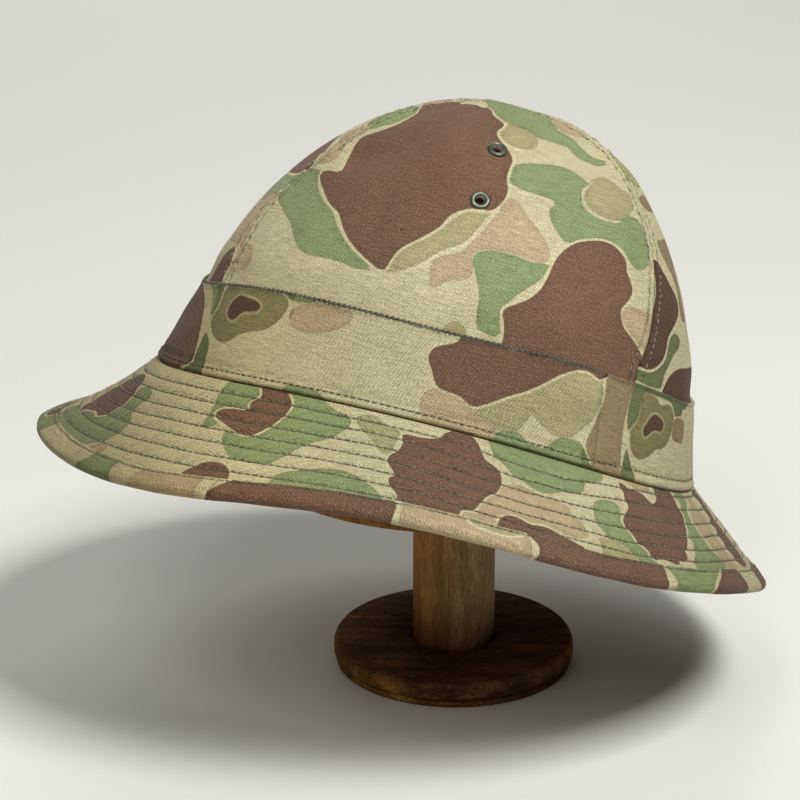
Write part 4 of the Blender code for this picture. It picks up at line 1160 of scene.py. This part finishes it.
BAND_ROWS = [0.0, 0.6, 1.3, 2.0, 2.7, 3.4, 4.2] + [5.4 + 1.25 * i for i in range(20)] + [
    30.2, 31.2, 32.0, 32.6, 33.1, 33.45, 33.6]
BAND_COLUMNS = 372
BAND_FOLDS = [
    # along, climb, height out in mm, spread along, spread up
    (54.0, 25.0, 1.20, 7.0, 6.0),
    (51.0, 11.5, -0.85, 7.0, 6.0),
    (-15.0, 17.5, -0.55, 4.5, 6.0),
    (-34.0, 8.5, -0.50, 5.0, 5.0),
]


def repeated(chart, along, limit, flip=False):
    """A chart moved along the cloth, less the outlines that don't lie wholly past a limit."""
    kept = []
    for colour, outline in moved(chart, along, flip):
        reach = [u for u, w in outline]
        if min(reach) > limit > 0 or max(reach) < limit < 0:
            kept.append((colour, outline))
    return kept


def bottom_row(along):
    """Height of the band's lower stitch row along the band."""
    return 2.7 + 1.2 * np.clip((along - 58.0) / 20.0, 0.0, 1.0)


def band_surface(turn, climb, out=0.0):
    """Points of the band's outside, relief included."""
    along = (turn + 90.0) / 360 * girth_at(level_at(climb))
    relief = -0.42 * np.exp(-((climb - bottom_row(along)) / 0.9) ** 2)
    relief = relief + 0.30 * np.exp(-((climb - 1.1) / 1.1) ** 2)
    pucker = np.sin(along * 2 * math.pi / 6.1 + np.sin(along / 13.0))
    relief = relief + 0.12 * pucker * np.exp(-((climb - 3.0) / 2.6) ** 2)
    relief = relief + 0.14 * np.sin(along / 17.0 + climb / 9.0)
    relief = relief + 0.10 * np.sin(along / 7.0 - climb / 6.0)
    # The folds are charted from the middle of the left side, the short way round.
    near = ((turn + 270.0) % 360.0 - 180.0) / 360 * girth_at(level_at(climb))
    for fold_along, fold_climb, height, along_spread, up_spread in BAND_FOLDS:
        relief = relief + height * np.exp(-((near - fold_along) / along_spread) ** 2
                                          - ((climb - fold_climb) / up_spread) ** 2)
    # The turned lip, and right of the joint, where no stitches hold it, a deeper fold below it.
    lip = np.clip((climb - LIP_START) / (BAND_TOP - LIP_START), 0.0, 1.0)
    relief = relief + 0.3 * np.sin(math.pi * lip) - 0.85 * lip ** 4
    folded = np.clip((-BAND_JOINT_TURN - turn) / 4.0, 0.0, 1.0)
    relief = relief + folded * (0.16 * np.sin(math.pi * lip)
                                - 0.34 * np.exp(-((climb - LIP_START) / 0.55) ** 2))
    foot = np.clip((0.8 - climb) / 0.8, 0.0, 1.0)
    relief = relief - 0.5 * foot ** 2
    return crown_point(turn, level_at(np.minimum(climb, BAND_TOP)), -relief - out)


band_turns = np.linspace(BAND_JOINT_TURN + 0.02, BAND_JOINT_TURN + 359.98, BAND_COLUMNS + 1)
turns = np.broadcast_to(band_turns, (len(BAND_ROWS), BAND_COLUMNS + 1))
climbs = np.broadcast_to(np.array(BAND_ROWS)[:, None], turns.shape)
points = band_surface(turns, climbs)
# Right of the joint the strip starts anew; its chart runs back round to the joint's left side.
along = (turns + 90.0) / 360 * girth_at(level_at(climbs))
whole = girth_at(level_at(climbs))
charted = np.where(turns > FAR_TURN, along - whole, along)
mesh, column, row = cloth_grid(BAND_COLUMNS, len(BAND_ROWS) - 1)
places = np.stack([charted[row, column], climbs[row, column]], 1)
left_of_joint = [(ink, outline) for ink, outline in BAND_CHART if outline[0][0] < JOINT_ALONG]
values = print_on(places, BAND_CHART + repeated(left_of_joint, 2 * BAND_REPEAT - 8, 112)
                  + repeated(left_of_joint, -BAND_REPEAT, -152))
values["along"], values["up"] = along[row, column], places[:, 1]
values["sewn"] = np.minimum(np.abs(places[:, 1] - bottom_row(places[:, 0])),
                             np.abs(places[:, 1] - LIP_STITCHES + 0.6))
lay_cloth(mesh, on_stand(points[row, column]), values)
band_cotton = printed_cotton("band_cotton", 0.92, 1.0)
band = place_object("band", mesh, band_cotton)
thicken(band, CLOTH)
settle(band, "hat_band")

# The band's stitches: a plain row of olive thread near its foot, and short slanted stitches of
# dark thread close together over its top edge, which end at the joint.
BAND_SAMPLES = 900
thread = thread_surface("olive_thread", (0.030, 0.034, 0.018), (0.200, 0.195, 0.130))
dark_thread = thread_surface("dark_thread", (0.014, 0.016, 0.008), (0.130, 0.125, 0.080))
row_turns = np.linspace(BAND_JOINT_TURN + 0.6, BAND_JOINT_TURN + 359.4, BAND_SAMPLES)
row_along = (row_turns + 90.0) / 360 * girth_at(0.0)
foot_climb = bottom_row(np.where(row_turns > FAR_TURN, row_along - girth_at(0.0), row_along))
foot_rows = [(on_stand(band_surface(row_turns, foot_climb, 0.22)),
              on_stand(band_surface(row_turns, foot_climb, 1.0)))]
stitch_rows("band_foot_stitches", foot_rows, 1.9, 0.48, 2.6, thread)
lip_turns = np.linspace(-BAND_JOINT_TURN, BAND_JOINT_TURN + 359.4, BAND_SAMPLES)
lip_climb = np.full(BAND_SAMPLES, LIP_STITCHES)
lip_rows = [(on_stand(band_surface(lip_turns, lip_climb, -0.15)),
             on_stand(band_surface(lip_turns, lip_climb, 1.0)))]
stitch_rows("band_lip_stitches", lip_rows, 2.8, 1.65, 2.0, dark_thread,
            math.radians(-28))

# The brim: two plies of the printed cotton, stitched together in seven rows that run round it,
# each row drawing the cloth into a shallow groove. It starts flat under the crown's foot.
BRIM_PLY = 1.6
BINDING_CLOTH = 1.0
BINDING_WIDTH = 9.0
BRIM_EASE = 0.4
BRIM_FRONT = 142.0
BRIM_BACK = 137.9
BRIM_HALF_WIDTH = 131.3
BRIM_DROP = 32.1
BRIM_BOW_FRONT = -2.1
BRIM_BOW_BACK = 0.7
BRIM_SHORT = BINDING_CLOTH + GAP
STITCH_ROWS = 7
# Height of the brim's edge as waves round it, in shares of BRIM_DROP.
BRIM_EDGE_WAVES = [
    # waves, rise at the back, rise a quarter wave on
    (0, -1.000, 0.000),
    (1, 0.006, -0.056),
    (2, -0.255, -0.084),
    (3, -0.012, -0.012),
    (4, 0.037, -0.009),
    (5, -0.012, -0.040),
]
# Depth of the seven stitch rows below the brim's foot, at places along the brim.
BRIM_ROWS = np.array([
    # along, row 1 to row 7
    (-150, 6.0, 11.0, 17.0, 23.0, 28.7, 34.0, 40.0),
    (-100, 5.0, 10.3, 16.0, 21.8, 28.0, 34.3, 41.0),
    (-60, 5.0, 10.5, 16.3, 22.0, 28.0, 34.5, 41.0),
    (-20, 4.8, 10.0, 16.0, 22.0, 28.0, 34.5, 41.0),
    (0, 4.8, 10.5, 16.8, 22.7, 29.0, 35.0, 41.0),
    (20, 5.7, 12.8, 19.3, 25.5, 31.5, 37.0, 42.8),
    (40, 7.6, 14.3, 20.4, 26.5, 32.0, 38.0, 43.5),
    (60, 8.0, 14.3, 20.3, 26.5, 32.0, 37.4, 43.0),
    (80, 5.3, 11.8, 18.7, 25.0, 31.3, 36.7, 42.0),
    (100, 3.5, 9.5, 17.0, 23.7, 29.3, 35.0, 40.5),
    (120, 2.5, 8.5, 15.5, 22.0, 28.0, 33.0, 38.5),
    (140, 1.8, 8.0, 14.5, 20.0, 26.0, 31.0, 37.0),
])


def brim_edge_point(turn):
    """Outermost points of the brim, binding included."""
    angle = np.radians(turn)
    along = np.cos(angle) * np.where(np.cos(angle) > 0, BRIM_BACK, BRIM_FRONT)
    share = sum(even * np.cos(waves * angle) + odd * np.sin(waves * angle)
                for waves, even, odd in BRIM_EDGE_WAVES)
    return np.stack([along, BRIM_HALF_WIDTH * np.sin(angle), share * BRIM_DROP], -1)


def brim_axes(turn):
    """Foot of the brim's slope, the way down it, the upward normal and the cloth's length."""
    foot = crown_form(turn, 0.0) - np.array([0, 0, GAP + BRIM_EASE])
    edge = brim_edge_point(turn)
    down = unit(edge - foot)
    beside = brim_edge_point(turn + 0.5) - brim_edge_point(turn - 0.5)
    beside = beside + crown_form(turn + 0.5, 0.0) - crown_form(turn - 0.5, 0.0)
    length = np.linalg.norm(edge - foot, axis=-1) - BRIM_SHORT
    return foot, down, unit(np.cross(down, beside)), length


def brim_point(turn, depth, out=0.0):
    """Points of the brim's top at a distance down its slope, moved out along its normal."""
    foot, down, up, length = brim_axes(turn)
    backward = 0.5 * (1 + np.cos(np.radians(turn)))
    bow = BRIM_BOW_BACK * backward + BRIM_BOW_FRONT * (1 - backward)
    bow = bow * np.sin(math.pi * np.clip(depth / length, 0.0, 1.0))
    return foot + down * depth[..., None] + up * (bow + out)[..., None]


# Distance along the brim at half its depth, measured from the left side.
ring_turns = np.arange(-270.0, 270.5, 0.5)
ring = brim_point(ring_turns, brim_axes(ring_turns)[3] / 2, np.zeros(len(ring_turns)))
ring_run = np.concatenate([[0], np.cumsum(np.linalg.norm(np.diff(ring, axis=0), axis=1))])
ring_run = ring_run - np.interp(-90.0, ring_turns, ring_run)


def brim_along(turn):
    """Distance along the brim at a turn."""
    return np.interp(turn, ring_turns, ring_run)


BRIM_WHOLE = brim_along(90.0) - brim_along(-270.0)
BRIM_HALF = BRIM_WHOLE / 4


def near_side(along):
    """Distance along the brim folded onto its near half, whose rows and print were charted."""
    along = np.where(along > BRIM_HALF, 2 * BRIM_HALF - along, along)
    return np.where(along < -BRIM_HALF, -2 * BRIM_HALF - along, along)


def row_depth(number, along):
    """Depth of a stitch row."""
    return np.interp(near_side(along), BRIM_ROWS[:, 0], BRIM_ROWS[:, number])


def brim_relief(along, depths, depth):
    """How far the brim's cloth stands out between and at its stitch rows."""
    relief = np.zeros_like(depth)
    nearest = np.full_like(depth, 99.0)
    for number in range(STITCH_ROWS):
        apart = depth - depths[number]
        nearest = np.minimum(nearest, np.abs(apart))
        waver = np.sin(along * 2 * math.pi / (5.4 + 0.3 * number) + 1.9 * number
                       + 1.4 * np.sin(along / 11.0 + number))
        relief = relief - 0.36 * np.exp(-(apart / 0.75) ** 2)
        relief = relief + 0.13 * waver * np.exp(-((np.abs(apart) - 1.2) / 1.4) ** 2)
    relief = relief + 0.18 * np.sin(math.pi / 2 * np.clip(nearest / 3.0, 0.0, 1.0))
    relief = relief + 0.14 * np.sin(along / 12.0 + depth / 10.0)
    return relief + 0.1 * np.sin(along / 5.0 - depth / 7.0)


BRIM_CHART = [
    ("brown", [(-160, 10.7), (-158.2, 9.4), (-154.5, 8), (-150.9, 7.4), (-147.3, 7.7),
               (-143.6, 9.4), (-141.4, 11.2), (-139.1, 13.9), (-136.4, 16.6),
               (-134.5, 18.9), (-134.1, 22.1), (-134.7, 25.3), (-135.3, 28.5),
               (-137.3, 30.7), (-140, 31.2), (-143.2, 30.3), (-146.4, 30.3), (-150, 31.2),
               (-153.6, 32.5), (-156.4, 33.9), (-159.1, 33.6), (-160.5, 31.6),
               (-161.8, 28), (-162.7, 23.5), (-162.7, 18), (-161.8, 13.5)]),
    ("green", [(-136.4, 11.6), (-132.7, 11.2), (-128.2, 12.1), (-125.5, 13), (-124.4, 15.3),
               (-124.5, 18), (-124.1, 21.6), (-122.7, 23.9), (-119.3, 26.2),
               (-116.5, 29.4), (-115.2, 32.5), (-114.7, 36.2), (-115.6, 38.9),
               (-117.5, 41.6), (-121, 44.5), (-140, 46), (-164.5, 43.5), (-170.9, 40.7),
               (-171.8, 37.1), (-168.2, 34.4), (-160, 34.5), (-150, 29), (-140, 24),
               (-137, 16)]),
    ("pink", [(-118, 47), (-117, 42), (-115.2, 41.5), (-112.5, 41.6), (-110.4, 43.9),
              (-110.2, 47)]),
    ("green", [(-87.9, -1), (-89.1, 3.5), (-88.4, 6.6), (-86.7, 9.8), (-85.6, 13),
               (-84.5, 16.2), (-83.8, 19.4), (-82.9, 22.1), (-80.6, 21.8), (-78.4, 20.7),
               (-75, 19), (-71.5, 21.8), (-70.6, 24.8), (-68.4, 28), (-65.6, 30.7),
               (-62, 33.5), (-57.5, 34.8), (-52, 35), (-47.5, 34.4), (-44.7, 32.1),
               (-42.9, 29.4), (-41.1, 26.2), (-38.4, 22.5), (-35.6, 19.8), (-31.3, 16.6),
               (-29, 13.5), (-27.2, 10.3), (-26.9, 7.5), (-28.1, 5.3), (-30.4, 3.9),
               (-34, 3.6), (-37.5, 2.1), (-41.1, 0.3), (-42, -1)]),
    ("brown", [(-72, -1), (-71.1, 0.3), (-69.3, 2.1), (-68.4, 3.9), (-69.7, 5.3),
               (-70.6, 6.6), (-70.2, 8.9), (-69.5, 10.3), (-71.1, 11.2), (-74.7, 11.6),
               (-78.4, 12.1), (-80.6, 13), (-81.7, 14.8), (-80.6, 16.6), (-77.5, 18),
               (-73.8, 19.4), (-70.2, 20.7), (-66.5, 21.8), (-62.9, 22.3), (-60.2, 21.6),
               (-58.4, 20.3), (-56.5, 17.5), (-54.7, 14.4), (-53.4, 10.7), (-52.7, 7.5),
               (-53.4, 4.8), (-55.2, 2.5), (-57.5, 0.7), (-59, -1)]),
    ("brown", [(-72.2, 43.9), (-71.1, 41.6), (-69.7, 39.8), (-67.5, 38.2), (-64.3, 37.6),
               (-61.1, 38.2), (-58.4, 39.8), (-56.5, 42.1), (-55.5, 44.4), (-55, 50),
               (-72, 50)]),
    ("green", [(-41.5, 42.5), (-41.5, 40.7), (-40.2, 38.5), (-37.5, 36.6), (-34, 35),
               (-30.4, 33.5), (-26.7, 32.4), (-22.6, 32.1), (-18.5, 32.7), (-14, 34.8),
               (-10.4, 37.5), (-7.6, 40.3), (-6.7, 41.6), (-7, 50), (-41, 50)]),
    ("olive", [(-25.4, 4.8), (-24.5, 3.3), (-22.2, 2.3), (-19, 2.2), (-15.8, 3.6),
               (-13.5, 5.3), (-9.5, 5.7), (-7.6, 6.6), (-7.2, 8.5), (-7.6, 11.6),
               (-8.1, 15.7), (-8.5, 19.4), (-10.4, 20), (-12.2, 18.5), (-14.9, 15.3),
               (-17.6, 12.5), (-21.3, 9.8), (-24, 7.5)]),
    ("brown", [(-5.8, 7.5), (-3.1, 7.3), (0.5, 7.4), (5.1, 6.6), (8.3, 4.8), (9.6, 2.5),
               (11, 1.2), (12.8, -0.5), (20.5, -0.5), (22.4, 1.6), (24.2, 4.4),
               (25.1, 7.1), (26.5, 10.3), (28.7, 11.6), (30.5, 12.1), (31.9, 13.9),
               (32.5, 16.6), (32.4, 19.8), (31.3, 23), (30.1, 25.3), (27.8, 27.5),
               (26, 29.8), (24.2, 33), (23.3, 35.3), (21.5, 37.5), (18.7, 38.5),
               (17.8, 39.8), (17.6, 41.6), (15.5, 41.5), (6, 41.5), (-2.2, 41.2),
               (-2, 39.4), (-3.5, 37.1), (-5.4, 34.4), (-6.3, 32.1), (-5.8, 30.7),
               (-4.7, 29.4), (-5.1, 28), (-7.2, 25.3), (-8.5, 22.5), (-8.4, 20.3),
               (-6.7, 17.5), (-5.4, 14.4), (-5.1, 11.6), (-6, 9.4)]),
    ("green", [(27.8, -1), (28.7, 2.5), (29.6, 5.7), (32.4, 8.5), (35.1, 11.2),
               (37.8, 13.9), (41.5, 16.2), (45.1, 18.2), (49.6, 18.7), (53.3, 17.5),
               (57.6, 15.3), (62.2, 14.2), (66.7, 12.5), (68.1, 9.8), (69.5, 7.5),
               (72.2, 6.6), (75.8, 5.7), (79.5, 3.5), (81.3, 1.2), (81.7, -1)]),
    ("pink", [(32.8, 20.7), (36, 19.1), (40.1, 18.2), (43.3, 19.4), (47.8, 20.3),
              (52.4, 20.7), (56.7, 22.5), (58.1, 24.4), (58.5, 26.2), (60.8, 27.5),
              (62.2, 30.7), (62.6, 33.5), (61.7, 35.7), (59.5, 36.4), (54, 36.6),
              (51.5, 35.7), (46.9, 35.1), (42.4, 35.7), (38.7, 34.8), (35.1, 34.4),
              (32.4, 35.7), (30.1, 38), (28.7, 38.9), (24.2, 38), (23.7, 36.2),
              (25.1, 33), (26.9, 29.8), (29.6, 26.2), (31.5, 23.5)]),
    ("pink", [(18.8, 41.6), (19.2, 39.5), (24, 38.6), (29, 39.5), (30, 42.5), (25, 45),
              (20, 45)]),
    ("brown", [(30.1, 44), (30.4, 39.4), (31.9, 36.6), (34.6, 35.1), (37.4, 35.3),
               (40.5, 36.6), (44.2, 36.2), (47.8, 36), (51.5, 37.1), (54.6, 38.5),
               (56, 39.1), (60, 41), (58, 47), (36, 47)]),
    ("green", [(70.4, 17.1), (72.2, 15.3), (75.8, 13.9), (79.5, 13.6), (82, 14.5),
               (82.4, 16.6), (81.3, 19.4), (81.1, 22.5), (82.2, 26.2), (83.5, 29.4),
               (85.8, 32.1), (87.6, 34.4), (89.6, 37.1), (89.3, 39.4), (83.1, 41),
               (81.3, 39.4), (80.4, 37.1), (78.5, 34.4), (75.8, 33), (72.2, 32.5),
               (70.4, 29.8), (68.5, 27.1), (68.3, 23.9), (69, 20.3)]),
    ("olive", [(66.7, 34.8), (68.5, 33.3), (73.1, 32.5), (76.7, 33.5), (79, 34.8),
               (80.4, 38), (79.5, 43), (67.6, 43), (67.2, 37.5)]),
    ("brown", [(89.5, 2.1), (90.8, 1.6), (93.1, 3.3), (96.7, 3.9), (100.4, 4.2),
               (102.2, 5.7), (103.5, 8), (105.8, 8.7), (108.5, 7.5), (111.3, 4.8),
               (113.5, 2.1), (114.9, -1), (129.5, -1), (128.5, 3), (126.7, 5.7),
               (125.8, 8.5), (124, 12.1), (121.3, 15.3), (118.5, 18.5), (115.8, 22.1),
               (113.1, 25.3), (110.4, 28.5), (108.5, 29.8), (107.6, 32.5), (106.3, 34.2),
               (103.5, 34.5), (101.7, 34.8), (100.4, 37.1), (98.5, 37.7), (96.7, 36.6),
               (94, 36.2), (91.3, 36.4), (89.5, 37.5), (88.5, 36.2), (87.2, 33),
               (84.9, 30.7), (83.1, 27.1), (81.7, 23.9), (81.3, 22.1), (83.1, 19.4),
               (85.8, 16.6), (87.6, 14.4), (88.5, 11.6), (88.4, 9.4), (89.5, 6.6),
               (89.3, 3.9)]),
    ("pink", [(95, -1), (110, -1), (109, 2), (104, 4), (98, 3)]),
    ("green", [(134, -1), (132.2, 3.5), (129.9, 7.1), (126.7, 9.8), (123.1, 13.5),
               (120.8, 16.6), (117.6, 21.2), (116.7, 25.3), (114, 29.8), (111.3, 33),
               (109.6, 35.3), (109.9, 38), (120, 39), (129.5, 34.4), (129.5, 31.6),
               (128.1, 28.9), (126.7, 25.3), (126.7, 20.7), (127.6, 16.2), (129.5, 11.6),
               (133.1, 8), (137.6, 5.3), (142.2, 1.6), (144, -1)]),
    ("pink", [(131, 34), (130, 28), (129, 20), (132, 12), (139, 7), (145, 3), (150, 2),
              (147, 10), (142, 18), (140, 26), (141, 34), (137, 38)]),
    ("brown", [(164.7, 0.3), (160.2, 3.5), (159.3, 7.1), (155.6, 10.7), (151.1, 14.4),
               (147.5, 18), (145.6, 21.6), (144.7, 26.2), (145.2, 29.8), (147.5, 33.9),
               (152.9, 34.4), (156.5, 33.5), (159.3, 28), (160.2, 20.7), (162.9, 13.5),
               (168.4, 7.1), (172.9, 3.5), (175.6, 0.7)]),
]
BRIM_COLUMNS = 340
BRIM_STEPS = [0.0, 0.13, 0.3, 0.5, 0.7, 0.87]
COLLAR = 3.0

ring_turn = np.linspace(-270.0, 90.0, BRIM_COLUMNS + 1)
ring_along = brim_along(ring_turn)
ring_length = brim_axes(ring_turn)[3]
rows_here = np.array([row_depth(number, ring_along) for number in range(1, STITCH_ROWS + 1)])
knots = [np.zeros_like(ring_length), *rows_here, ring_length]
depths = []
for near, far in zip(knots, knots[1:]):
    depths += [near + (far - near) * step for step in BRIM_STEPS]
depths.append(ring_length)
depths = np.array(depths)
turns = np.broadcast_to(ring_turn, depths.shape)
alongs = np.broadcast_to(ring_along, depths.shape)
relief = brim_relief(alongs, rows_here[:, None, :], depths)
relief = relief * np.clip(depths / 3.0, 0.0, 1.0)
# The last stretch lies flat inside the binding.
held = np.clip((depths - (ring_length - BINDING_WIDTH)) / 2.0, 0.0, 1.0)
relief = relief * (1 - held) - 0.05 * held
points = brim_point(turns, depths, relief)
collar = crown_point(ring_turn, 0.0, 2 * CLOTH + GAP) - np.array([0, 0, GAP])
points = np.concatenate([collar[None], points])
depths = np.concatenate([np.full((1, depths.shape[1]), -COLLAR), depths])
alongs = np.broadcast_to(ring_along, depths.shape)
mesh, column, row = cloth_grid(depths.shape[1] - 1, depths.shape[0] - 1)
places = np.stack([alongs[row, column], depths[row, column]], 1)
values = print_on(places, BRIM_CHART
                  + repeated(BRIM_CHART, 2 * BRIM_HALF + 8, BRIM_HALF - 4, True)
                  + repeated(BRIM_CHART, -2 * BRIM_HALF + 8, -BRIM_HALF + 6, True))
values["along"], values["up"] = points[row, column, 0], points[row, column, 1]
values["sewn"] = np.abs(depths[None] - rows_here[:, None, :]).min(0)[row, column]
lay_cloth(mesh, on_stand(points[row, column]), values)
bmesh.ops.remove_doubles(mesh, verts=mesh.verts, dist=0.02 * MM)
bmesh.ops.reverse_faces(mesh, faces=mesh.faces)
brim_cotton = printed_cotton("brim_cotton", 0.87, 0.9)
brim = place_object("stitched_brim", mesh, brim_cotton)
thicken(brim, BRIM_PLY)
settle(brim, "brim")
cells = np.linalg.norm(np.cross(points[1:, 1:] - points[:-1, :-1],
                                points[1:, :-1] - points[:-1, 1:]), axis=-1) / 2

# The brim's stitching: seven rows of dark olive thread round it, seen on both of its sides, and
# hidden where a row runs in under the binding.
BRIM_SAMPLES = 1500
row_turns = np.linspace(-270.0, 90.0, BRIM_SAMPLES)
row_alongs = brim_along(row_turns)
all_depths = np.array([row_depth(number, row_alongs) for number in range(1, STITCH_ROWS + 1)])
foot, down, up, length = brim_axes(row_turns)
for label, out, sign in (("top", 0.12, 1.0), ("under", -BRIM_PLY - 0.12, -1.0)):
    brim_rows = []
    for depth in all_depths:
        relief = brim_relief(row_alongs, all_depths, depth) * np.clip(depth / 3.0, 0.0, 1.0)
        line = brim_point(row_turns, depth, relief + out)
        outer = line + up * sign
        seen = depth < length + BRIM_SHORT - BINDING_WIDTH - 1.2
        cuts = np.flatnonzero(np.diff(seen.astype(int))) + 1
        for part in np.split(np.arange(len(depth)), cuts):
            if seen[part[0]] and len(part) > 12:
                brim_rows.append((on_stand(line[part]), on_stand(outer[part])))
    stitch_rows(f"brim_stitching_{label}", brim_rows, 2.35, 0.72, 2.8, thread)

# The binding: one narrow strip of the same cloth folded over the brim's edge and sewn through,
# its ends joined at the left.
BINDING_CHART = [
    ("green", [(-190, -12), (-190, 12), (-151, 12), (-150, 0), (-151, -12)]),
    ("brown", [(-175, 12), (-174, 6), (-170, 4.5), (-166, 6), (-165, 12)]),
    ("green", [(-110, 12), (-110, 5), (-112.5, 0), (-113, -12), (-94, -12), (-94.5, 0),
               (-97, 5), (-97, 12)]),
    ("pink", [(-86.5, 3), (-85, 8), (-82, 12), (-64, 12), (-64, -12), (-83, -12),
              (-86, -4)]),
    ("brown", [(-61, -12), (-59, -3), (-56, 4), (-52.5, 9), (-51.5, 12), (-5, 12), (-2, 8),
               (-1.5, 4), (-2.5, -4), (-4, -12)]),
    ("pink", [(0.5, 8), (2, 12), (39, 12), (39.6, 4), (39.6, -12), (3, -12), (0.6, -2)]),
    ("olive", [(20, 12), (21, 6.5), (27, 5), (34, 5.5), (37.5, 8), (37.5, 12)]),
    ("cream", [(19.5, 9), (21, 5.9), (27, 4.4), (34, 4.9), (38, 7.5)]),
    ("brown", [(38, -12), (40.5, -4), (42.2, 1), (42.0, 4.5), (39, 8.5), (36.5, 12), (89, 12),
               (89.5, 3), (88.5, -12)]),
    ("green", [(93, 12), (93.5, 2), (92.5, -12), (108, -12), (110.4, 0), (115, 4.5),
               (120.8, 9), (121, 12)]),
    ("brown", [(111, -12), (112, 0), (117, 4), (122.6, 9), (123, 12), (132, 12),
               (135.8, 4), (133, -3), (128, -12)]),
    ("brown", [(154, -12), (154, 12), (173, 12), (172, -12)]),
]
BINDING_JOINT = -57.6
INSIDE = BRIM_PLY / 2 + 0.22
OUTSIDE = BRIM_PLY / 2 + GAP + BINDING_CLOTH
SEWN_IN = 7.8
section = []  # (toward the edge from the outermost point, out from the brim's middle, cloth)
for along in (-9.0, -8.75, -8.3, -7.8, -7.3, -6.6, -5.4, -4.2, -3.0):
    lip = max(0.0, (-8.3 - along) / 0.7)
    sewn = 0.32 * math.exp(-((along + SEWN_IN) / 0.55) ** 2)
    section.append((along, OUTSIDE - 0.35 * lip ** 2 - sewn, -along))
for i in range(1, 8):
    angle = math.pi * i / 8
    section.append((-OUTSIDE * (1 - math.sin(angle)), OUTSIDE * math.cos(angle),
                    2.0 * math.cos(angle)))
top_part = [(along, out, cloth) for along, out, cloth in section if along <= -3.0]
section += [(along, -out, -cloth) for along, out, cloth in reversed(top_part)]
section += [(-9.0, -INSIDE, -9.0), (-5.0, -INSIDE, -5.0), (-1.2, -INSIDE, -1.2),
            (-1.0, 0.0, 0.0), (-1.2, INSIDE, 1.2), (-5.0, INSIDE, 5.0), (-9.0, INSIDE, 9.0)]
section = np.array(section)
BINDING_COLUMNS = 380
joint_turn = np.interp(BINDING_JOINT, ring_run, ring_turns)
strip_turns = np.linspace(joint_turn + 0.04, joint_turn + 359.96, BINDING_COLUMNS + 1)
strip_along = brim_along(np.where(strip_turns > 90.0, strip_turns - 360.0, strip_turns))
foot, down, up, length = brim_axes(strip_turns)
toward, out, cloth = (section[:, k][:, None] for k in range(3))
whole = length[None, :]
depth = np.minimum(whole + BRIM_SHORT + toward, whole)
past = np.maximum(BRIM_SHORT + toward, 0.0)
turns = np.broadcast_to(strip_turns, depth.shape)
alongs = np.broadcast_to(strip_along, depth.shape)
waver = 0.10 * np.sin(alongs * 2 * math.pi / 4.9 + np.sin(alongs / 8.0)) * np.exp(
    -((-toward - SEWN_IN) / 1.8) ** 2)
waver = waver + 0.10 * np.sin(alongs / 6.0) + 0.08 * np.sin(alongs / 3.1 + 1.0)
outer_side = (np.abs(out) > INSIDE + 0.3) | (toward > -0.9)
reach = out + np.where(outer_side, waver * np.sign(out), 0.0)
points = brim_point(turns, depth, reach - BRIM_PLY / 2) + down[None] * past[..., None]
points = np.concatenate([points, points[:1]])
alongs = np.concatenate([alongs, alongs[:1]])
cloths = np.broadcast_to(np.concatenate([cloth, cloth[:1]]), alongs.shape)
mesh, column, row = cloth_grid(alongs.shape[1] - 1, alongs.shape[0] - 1)
places = np.stack([alongs[row, column], cloths[row, column]], 1)
values = print_on(places, BINDING_CHART
                  + repeated(BINDING_CHART, 2 * BRIM_HALF + 5, BRIM_HALF - 12, True)
                  + repeated(BINDING_CHART, -2 * BRIM_HALF + 5, -BRIM_HALF - 6, True))
values["along"], values["up"] = places[:, 0], places[:, 1]
values["sewn"] = np.abs(np.abs(places[:, 1]) - SEWN_IN)
lay_cloth(mesh, on_stand(points[row, column]), values)
bmesh.ops.remove_doubles(mesh, verts=mesh.verts, dist=0.005 * MM)
bmesh.ops.holes_fill(mesh, edges=[edge for edge in mesh.edges if edge.is_boundary], sides=0)
bmesh.ops.recalc_face_normals(mesh, faces=mesh.faces)
binding = place_object("edge_binding", mesh, brim_cotton)
settle(binding, "brim_binding")

# The binding's stitching: one row of dark olive thread just inside its inner edge, through
# strip and brim.
binding_rows = []
row_turns = np.linspace(joint_turn + 0.3, joint_turn + 359.7, BRIM_SAMPLES)
foot, down, up, length = brim_axes(row_turns)
depth = length + BRIM_SHORT - SEWN_IN
for sign in (1.0, -1.0):
    height = sign * (OUTSIDE - 0.25) - BRIM_PLY / 2
    line = brim_point(row_turns, depth, np.full(len(depth), height))
    binding_rows.append((on_stand(line), on_stand(line + up * sign)))
stitch_rows("binding_stitching", binding_rows, 1.75, 0.6, 2.3, thread)
